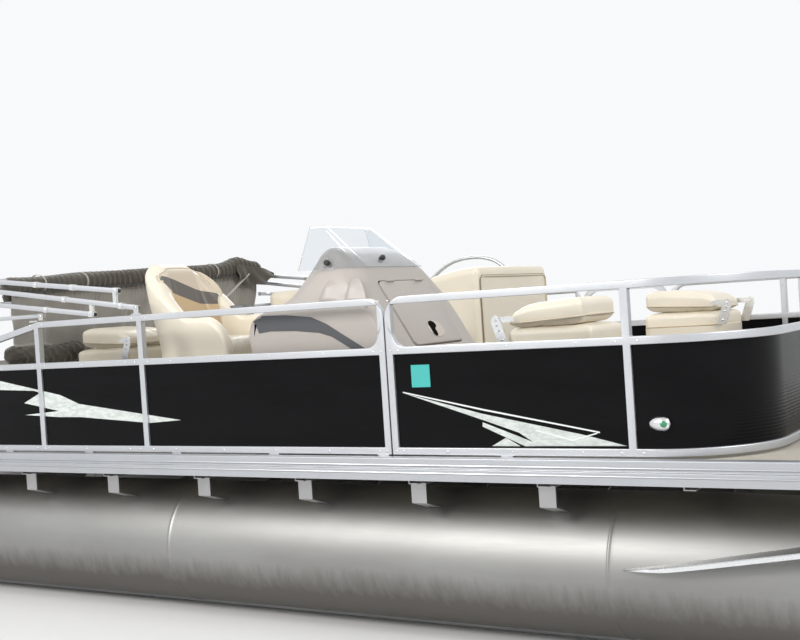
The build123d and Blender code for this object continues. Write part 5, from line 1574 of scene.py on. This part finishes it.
def bootSkin():
    # a canvas sleeve along y; radius = ellipse * (1 + gathers), the gathers being bands of sines whose
    # spacing wanders, deepest on its forward side and drawn in at both ends
    c = canopy
    y = np.linspace(-c["bootHalf"], c["bootHalf"], 640)
    angle = np.linspace(0, 2 * math.pi, 64, endpoint=False)
    Y, A = np.meshgrid(y, angle, indexing="ij")
    wander = 0.9 * np.sin(2.3 * Y + 1.1) + 0.7 * np.sin(6.1 * Y) + 0.3 * np.sin(17 * Y)
    lively = 0.35 + 0.65 * np.clip(np.sin(2.1 * Y + 0.9) * 0.8 + 0.45, 0, 1)
    gathers = np.sin(2 * math.pi * Y / 0.044 + 2.4 * wander + 0.9 * np.sin(A + 0.5)) * lively
    fine = np.sin(2 * math.pi * Y / 0.019 + 3 * np.sin(2 * A + 4 * Y) + 2 * wander) * 0.30 * lively
    broad = 0.035 * np.sin(5.3 * Y + 2 * A) + 0.03 * np.sin(11 * Y - 3 * A + 1)
    front = np.clip(0.5 + 0.5 * np.cos(A - 0.2), 0, 1)
    radius = 0.90 + 0.075 * (gathers + fine) * (0.25 + 0.75 * front) + broad
    seam = 0.05 * np.exp(-((A - 1.15) / 0.06) ** 2) + 0.06 * np.exp(-((A - 5.5) / 0.07) ** 2)
    hoops = 0.06 * np.exp(-((Y[..., None] - np.array(c["straps"])) / 0.006) ** 2).sum(-1)
    radius = radius - seam - hoops
    ends = np.clip((c["bootHalf"] - np.abs(Y)) / 0.050, 0, 1)
    radius = radius * (0.30 + 0.70 * np.sqrt(ends * (2 - ends)))
    wide, tall = c["bootSize"]
    x = at(c["bootAt"]) + wide * radius * np.sign(np.cos(A)) * np.abs(np.cos(A)) ** 0.8
    z = up(bootTop(Y) - tall) + tall * radius * np.sign(np.sin(A)) * np.abs(np.sin(A)) ** 0.8
    z = z + 0.003 * np.sin(9 * Y) + 0.034 * np.exp(-((Y - 0.885) / 0.095) ** 2) * np.clip(np.sin(A), 0, 1)
    return np.stack([x, Y, z], -1).reshape(-1, 3), tubeFaces(len(y), 64, True)


def slackRoll(y0, y1, x, height, halfX, halfZ, seed, tilt=0.0):
    # a loose roll of canvas: an ellipse whose radius is creased by slanting sines, closing to a blunt end
    y = np.linspace(y0, y1, 220)
    angle = np.linspace(0, 2 * math.pi, 56, endpoint=False)
    Y, A = np.meshgrid(y, angle, indexing="ij")
    creases = np.sin(2 * math.pi * Y / 0.13 + 2.5 * A + seed) * 0.5
    creases = creases + np.sin(2 * math.pi * Y / 0.07 - 3 * A + 2.2 * seed) * 0.3
    creases = -np.abs(creases) + 0.25 * np.sin(5 * A + 8 * Y + seed)
    ends = np.clip(np.minimum(Y - y0, y1 - Y) / 0.07, 0, 1)
    radius = (1 + 0.16 * creases) * (0.25 + 0.75 * np.sqrt(ends * (2 - ends)))
    sag = 0.020 * np.sin(math.pi * (Y - y0) / (y1 - y0))
    points = np.stack([x + halfX * radius * np.cos(A), Y,
                       up(height + tilt * Y) + halfZ * radius * np.sin(A) - sag], -1)
    return points.reshape(-1, 3), tubeFaces(220, 56, True)


def curtainSheet():
    # the canopy's slack, hanging: it leaves its plane by folds that fan out downwards from their gathers, and
    # its hem dips between them
    c = canopy
    station, low = c["curtain"]
    y = np.linspace(-1.085, 1.085, 480)
    v = np.linspace(0, 1, 70)
    Y, V = np.meshgrid(y, v, indexing="ij")
    fan = Y + 0.10 * V * np.sin(3.3 * Y + 0.7)
    fold = np.sin(2 * math.pi * fan / 0.36 + 1.4 * np.sin(2.9 * Y) + 1.2 * V)
    fold = fold + 0.4 * np.sin(2 * math.pi * fan / 0.15 + 2.0 * np.sin(5.0 * Y) + 2.5 * V)
    sharp = np.sign(fold) * np.abs(fold) ** 0.75
    pinch = np.sin(2 * math.pi * Y / 0.032 + 3 * np.sin(7 * Y)) * (1 - V) ** 3
    cross = np.sin(2 * math.pi * (V * 1.6 + 0.8 * Y) + 2 * np.sin(3 * Y)) * V * (1 - V) * 4
    x = at(station) + 0.042 * (1 - V) + 0.030 * sharp * (0.12 + 0.88 * V) + 0.003 * pinch + 0.008 * cross
    hem = low + 0.026 * np.sin(4.1 * Y + 0.6) + 0.012 * np.sin(13 * Y) - 0.03 * np.clip(Y, -0.2, 1)
    top = bootTop(Y) - 0.085
    z = up(top + (hem - top) * V)
    x = x + 0.012 * np.sin(math.pi * np.clip((V - 0.93) / 0.07, 0, 1))
    front = np.stack([x, Y, z], -1)
    return thinSheet(front, front - (canopy["cloth"], 0, 0))


def portFlap():
    # loose cloth left out at the port end: it leaves its plane by slow waves and sags between its ends
    y, v = np.meshgrid(np.linspace(0.80, 1.190, 100), np.linspace(0, 1, 60), indexing="ij")
    u = (y - 0.80) / 0.39
    wave = 0.020 * np.sin(9 * u + 2.4 * v) + 0.010 * np.sin(21 * u - 5 * v) + 0.05 * u ** 2
    x = at(canopy["bootAt"]) + 0.082 + wave * v
    top = 1.000 - 0.045 * u ** 2 + 0.004 * np.sin(11 * u)
    low = 0.905 - 0.055 * np.sin(math.pi * u) + 0.020 * u + 0.008 * np.sin(15 * u + 1)
    front = np.stack([x, y, up(top + (low - top) * v)], -1)
    return thinSheet(front, front - (canopy["cloth"], 0, 0))


def addCanopy():
    c = canopy
    tubes, mouthShades, clamps, bolts, boltNormals = [], [], [], [], []
    square = squareProfile(c["tube"], 0.0028)
    for sign in (-1, 1):
        for k, ((s0, h0), (s1, h1)) in enumerate(c["bows"]):
            start, end = np.array([at(s0), sign * c["y"], up(h0)]), np.array([at(s1), sign * c["y"], up(h1)])
            turnIn = np.array([at(s1), sign * 1.105, up(h1)])
            path = pathOf([start, end, turnIn], 0.075, 10)
            tubes.append(sweep(path, square, (0.01, 0.02, 1)))
            way = (end - start) / np.linalg.norm(end - start)
            # a thin dark square in each bow's open end, the bore less its wall: painted shade inside the tube
            mouthShades.append(sweep(np.array([start - way * 0.0009, start]),
                                squareProfile(c["tube"] - 0.0032, 0.002)))
            for share in ((0.10, 0.46), (0.02, 0.34, 0.62), (0.03, 0.46))[k]:
                spot = start + way * share * np.linalg.norm(end - start)
                clamps.append(sweep(np.array([spot - way * 0.013, spot + way * 0.013]),
                                    squareProfile(c["tube"] + 0.0028, 0.003)))
                bolts.append(spot + np.array([0, sign * (c["tube"] + 0.003), 0]))
                boltNormals.append((0, sign, 0))
        for (s0, h0), (s1, h1) in (((2.570, 0.742), (2.570, 0.818)), ((2.400, 0.708), (2.400, 0.768))):
            link = np.array([(at(s0), sign * c["y"], up(h0)), (at(s1), sign * c["y"], up(h1))])
            clamps.append(sweep(link, np.array([(-0.008, -0.011), (0.008, -0.011), (0.008, 0.011),
                                                (-0.008, 0.011)]), (1, 0, 0)))
            bolts.append(np.array([at(s0), sign * (c["y"] + 0.009), up(h0 + 0.012)]))
            boltNormals.append((0, sign, 0))
    newPiece("canopyBows", *joined(tubes), "anodised_rail", "bimini_bows", "anodised_rail", 38,
             ["bimini_frame"])
    newPiece("canopyBowMouthShades", *joined(mouthShades), "dark_plastic", "bimini_bows", "anodised_rail")
    newPiece("canopyClamps", *joined(clamps), "bright_sheet", "bimini_bows", "anodised_rail")
    newPiece("canopyBolts", *domes(bolts, boltNormals, 0.006), "stainless", "bimini_bows", "anodised_rail",
             60)
    struts, strutMouthShades, pins, pinNormals = [], [], [], []
    for sign in (-1, 1):
        (s0, h0), (s1, h1) = c["strut"]
        run = np.array([(at(s0) + 0.012, sign * c["strutY"], up(h0)), (at(s1), sign * c["strutY"], up(h1))])
        struts.append(sweep(run, squareProfile(0.0108, 0.0025)))
        # the same in each strut's open end: painted shade inside the tube
        strutMouthShades.append(sweep(np.array([(at(s1) - 0.0009, sign * c["strutY"], up(h1)),
                                           (at(s1), sign * c["strutY"], up(h1))]),
                                           squareProfile(0.008, 0.002)))
        for s, h, y in ((s0, h0, c["strutY"] + 0.020), (2.722, 0.723, c["y"] + 0.0195)):
            pins.append((at(s), sign * y, up(h)))
            pinNormals.append((0, sign, 0))
    newPiece("canopyStruts", *joined(struts), "anodised_rail", "bimini_braces", "anodised_rail", 38,
             ["bimini_struts"])
    newPiece("canopyStrutMouthShades", *joined(strutMouthShades), "dark_plastic", "bimini_braces", "anodised_rail")
    newPiece("canopyPins", *domes(pins, pinNormals, 0.0075), "stainless", "hull", "stainless", 60)
    boot = newPiece("canopyBoot", *bootSkin(), "grey_canvas", "bimini_bows", "grey_canvas", 180,
                    ["bimini_boot"])
    curtain = newPiece("canopyCurtain", *curtainSheet(), "curtain", "bimini_bows", "grey_canvas", 180)
    roll = newPiece("canopyRoll", *slackRoll(-1.10, 1.10, at(1.606), 0.872, 0.036, 0.040, 1.7, 0.030),
                    "grey_canvas", "bimini_bows", "grey_canvas", 180)
    bundle = newPiece("canopyBundle", *slackRoll(-1.12, -0.56, at(1.625), 0.515, 0.062, 0.062, 4.1),
                      "grey_canvas", "bimini_bows", "grey_canvas", 180)
    flap = newPiece("canopyFlap", *portFlap(), "grey_canvas", "bimini_bows", "grey_canvas", 180)
    # black zip along the sleeve's foot, and three straps round it
    y = np.linspace(-1.09, 1.09, 200)
    zipLine = np.stack([np.full(200, at(c["bootAt"]) + 0.066) + 0.004 * np.sin(31 * y), y,
                        up(bootTop(y) - 0.100)], -1)
    parts = [sweep(zipLine, np.array([(-0.006, -0.0016), (0.006, -0.0016), (0.006, 0.0016),
                                      (-0.006, 0.0016)]), (1, 0, 0))]
    for y in c["straps"]:
        angle = np.linspace(0, 2 * math.pi, 48, endpoint=False)
        loop = np.stack([at(c["bootAt"]) + 0.071 * np.cos(angle), np.full(48, y),
                         up(bootTop(y) - 0.056) + 0.055 * np.sin(angle)], -1)
        band = np.array([(-0.0011, -0.006), (0.0011, -0.006), (0.0011, 0.006), (-0.0011, 0.006)])
        parts.append(closedSweep(loop, band, (0, 1, 0)))
    strap = np.array([(at(1.668), 0.640, up(0.758)), (at(1.706), 0.700, up(0.795)),
                      (at(1.716), 0.930, up(0.940))])
    newPiece("bootZip", *parts[0], "strap", "bimini_bows", "grey_canvas")
    newPiece("bootStraps", *joined(parts[1:]), "pale_strap", "bimini_bows", "grey_canvas")
    stay = sweep(strap, np.array([(-0.002, -0.012), (0.002, -0.012), (0.002, 0.012), (-0.002, 0.012)]),
                 (1, 0, 0))
    newPiece("bootStay", *stay, moulded("stayWeb", (0.66, 0.64, 0.60), 0.7, 0.0), "bimini_bows",
             "grey_canvas")
    print("canopy is in")


outboard = {
    "tilt": (-0.340, 0.745, 50.0), "drop": 0.840,
    "cowl": ((0.084, -0.100, -0.500, 0.150), (0.120, -0.084, -0.525, 0.174), (0.150, -0.075, -0.540, 0.185),
             (0.240, -0.073, -0.552, 0.192),
             (0.330, -0.075, -0.560, 0.195), (0.410, -0.082, -0.556, 0.190), (0.480, -0.100, -0.540, 0.180),
             (0.530, -0.135, -0.508, 0.158),
             (0.552, -0.175, -0.470, 0.125), (0.560, -0.245, -0.410, 0.070)),
    "leg": ((0.080, -0.135, -0.420, 0.095), (0.020, -0.150, -0.410, 0.084), (-0.080, -0.175, -0.390, 0.068),
            (-0.240, -0.178, -0.385, 0.056),
            (-0.380, -0.175, -0.380, 0.048), (-0.520, -0.155, -0.388, 0.040), (-0.650, -0.130, -0.400, 0.032),
            (-0.800, -0.110, -0.400, 0.024)),
}


def parked(points):
    # turned up about the tilt tube, as the outboard is left
    station, height, degrees = outboard["tilt"]
    return turned(np.asarray(points, float), degrees, "y") + np.array([at(station), 0, height])


def stackOf(rows, power):
    # rounded sections at each height: |x/a|^p + |y/b|^p = 1 about the middle of front and back
    rows = np.asarray(rows, float)
    angle = np.linspace(0, 2 * math.pi, 64, endpoint=False)
    c, s = np.cos(angle), np.sin(angle)
    cx, sy = np.sign(c) * np.abs(c) ** (2 / power), np.sign(s) * np.abs(s) ** (2 / power)
    x = (rows[:, 1] + rows[:, 2])[:, None] / 2 + (rows[:, 1] - rows[:, 2])[:, None] / 2 * cx
    y = rows[:, 3][:, None] * sy
    z = np.broadcast_to(rows[:, :1], x.shape)
    return np.stack([x, y, z], -1).reshape(-1, 3), tubeFaces(len(rows), 64)


def denser(rows, steps):
    # the sections resampled on smooth lines through them
    rows = np.asarray(rows, float)
    order = rows[np.argsort(rows[:, 0])]
    height = np.linspace(order[0, 0], order[-1, 0], steps)
    return np.stack([height] + [smoothLine(height, order[:, 0], order[:, k]) for k in (1, 2, 3)], -1)


def bladeSheet(turn):
    # one propeller blade: radius runs out, the chord swings with pitch falling as the radius grows, and the
    # outline is a rounded ear; the section thins to its edges
    r, u = np.meshgrid(np.linspace(0.036, 0.172, 26), np.linspace(-1, 1, 19), indexing="ij")
    share = (r - 0.036) / 0.136
    chord = 0.046 * (1 + 0.55 * np.sin(math.pi * share)) * np.sqrt(np.clip(1 - share ** 5, 0.02, 1))
    skew = 0.030 * share ** 2
    pitch = np.arctan(0.075 / (r + 0.02))
    along = u * chord + skew
    x = -0.475 + along * np.sin(pitch)
    side = along * np.cos(pitch)
    thick = 0.0042 * (1 - 0.6 * share) * np.sqrt(np.clip(1 - u * u, 0, 1)) + 0.0006
    y = side * math.cos(turn) - r * math.sin(turn)
    z = -outboard["drop"] + side * math.sin(turn) + r * math.cos(turn)
    front = np.stack([x + thick / 2, y, z], -1)
    return thinSheet(front, front - (0.0034, 0, 0))


def addOutboard():
    o = outboard
    rows = denser(o["cowl"][:9], 46)
    # two grooves round the cowling: Gaussians of the height, taken off its front, back and half width
    z = rows[:, 0]
    groove = 0.005 * np.exp(-((z - 0.158) / 0.005) ** 2) + 0.003 * np.exp(-((z - 0.470) / 0.006) ** 2)
    rows[:, 1:] += groove[:, None] * (-1, 1, -1)
    rows = np.concatenate([rows, [o["cowl"][9]]])
    points, faces = stackOf(rows, 3.0)
    newPiece("motorCowl", parked(points), faces, "motor_black", "motor_steer", "motor_black", 50,
             ["outboard_cowling"])
    trims = []
    for z in (0.205, 0.222):
        row = denser(o["cowl"], 60)
        half = [float(np.interp(z, row[:, 0], row[:, k])) for k in (1, 2, 3)]
        angle = np.linspace(0, 2 * math.pi, 96, endpoint=False)
        c, s = np.cos(angle), np.sin(angle)
        ring = np.stack([(half[0] + half[1]) / 2 + (half[0] - half[1]) / 2 * np.sign(c) * np.abs(c) ** 0.667,
                         half[2] * np.sign(s) * np.abs(s) ** 0.667, np.full(96, z)], -1)
        trims.append(closedSweep(ring, roundProfile(0.0022, 6), (0, 0, 1)))
    bands, bandFaces = joined(trims)
    newPiece("motorBands", parked(bands), bandFaces, "stainless", "motor_steer", "motor_black")
    vents = [tub((-0.559 + 0.004 * abs(k), 0.026 * k, 0.400), (0.006, 0.008, 0.040),
                 0.4) for k in range(-4, 5)]
    handle = pathOf([(-0.530, -0.05, 0.150), (-0.572, -0.05, 0.150), (-0.572, 0.05, 0.150),
                     (-0.530, 0.05, 0.150)], 0.015, 6)
    vents.append(sweep(handle, roundProfile(0.008, 10)))
    slots, slotFaces = joined(vents)
    newPiece("motorVents", parked(slots), slotFaces, "dark_plastic", "motor_steer", "motor_black")
    parts = [stackOf(denser(o["leg"], 60), 2.2)]
    plate = roundedOutline(0.430, 0.190, 0.060, 10) + (-0.330, 0)
    parts.append(slab(plate, (0, 0, -0.650), (1, 0, 0), (0, 1, 0), 0.008))
    gear = np.array([(x, 0, -o["drop"]) for x in (-0.420, -0.300, -0.180, -0.120, -0.085, -0.063)])
    parts.append(sweep(gear, roundProfile(0.052, 28), (0, 0, 1), scale=[0.92, 1.0, 1.0, 0.90, 0.62, 0.12]))
    fin = [(-0.180, -0.870), (-0.400, -0.870), (-0.412, -0.930), (-0.400, -1.000), (-0.350, -1.014),
           (-0.310, -1.014), (-0.250, -0.950)]
    parts.append(slab(fin, (0, 0.005, 0), (1, 0, 0), (0, 0, 1), 0.010))
    leg, legFaces = joined(parts)
    newPiece("motorLeg", parked(leg), legFaces, "motor_black", "motor_steer", "motor_black", 40,
             ["outboard_leg"])
    hub = np.array([(x, 0, -o["drop"]) for x in (-0.425, -0.430, -0.500, -0.522, -0.525)])
    blades = [sweep(hub, roundProfile(0.045, 28), (0, 0, 1), scale=[0.9, 1.0, 1.0, 0.9, 0.5])]
    blades += [bladeSheet(math.radians(a)) for a in (0, 120, 240)]
    prop, propFaces = joined(blades)
    newPiece("motorPropeller", parked(prop), propFaces, "motor_black", "motor_prop", slotOf["propeller"], 40,
             ["propeller"])
    softenedCopy("swivel_bracket", 0.003)
    print("outboard is in")


sticker = {"x": (1.726, 1.818), "height": (0.294, 0.390), "face": -1.2249, "thick": 0.0007,
           "teal": (0.055, 0.46, 0.43)}


def addMarks():
    # the blank sticker on the starboard skin
    (x0, x1), (low, high) = sticker["x"], sticker["height"]
    outline = [(x0, up(low)), (x1, up(low)), (x1, up(high)), (x0, up(high))]
    plate = slab(outline, (0, sticker["face"], 0), (1, 0, 0), (0, 0, 1), sticker["thick"])
    newPiece("blankSticker", *plate, moulded("stickerTeal", sticker["teal"], 0.35, 0.1), "hull",
             "black_panel")
    print("marks are in")


addCamera()
addLamps()
addFloor()
print("camera, lamps and floor are in")
addFloats()
addPanels()
addRails()
addDeckGear()
addConsole()
addHelmChair()
addFishingChairs()
addLounge()
addCanopy()
addOutboard()
addMarks()
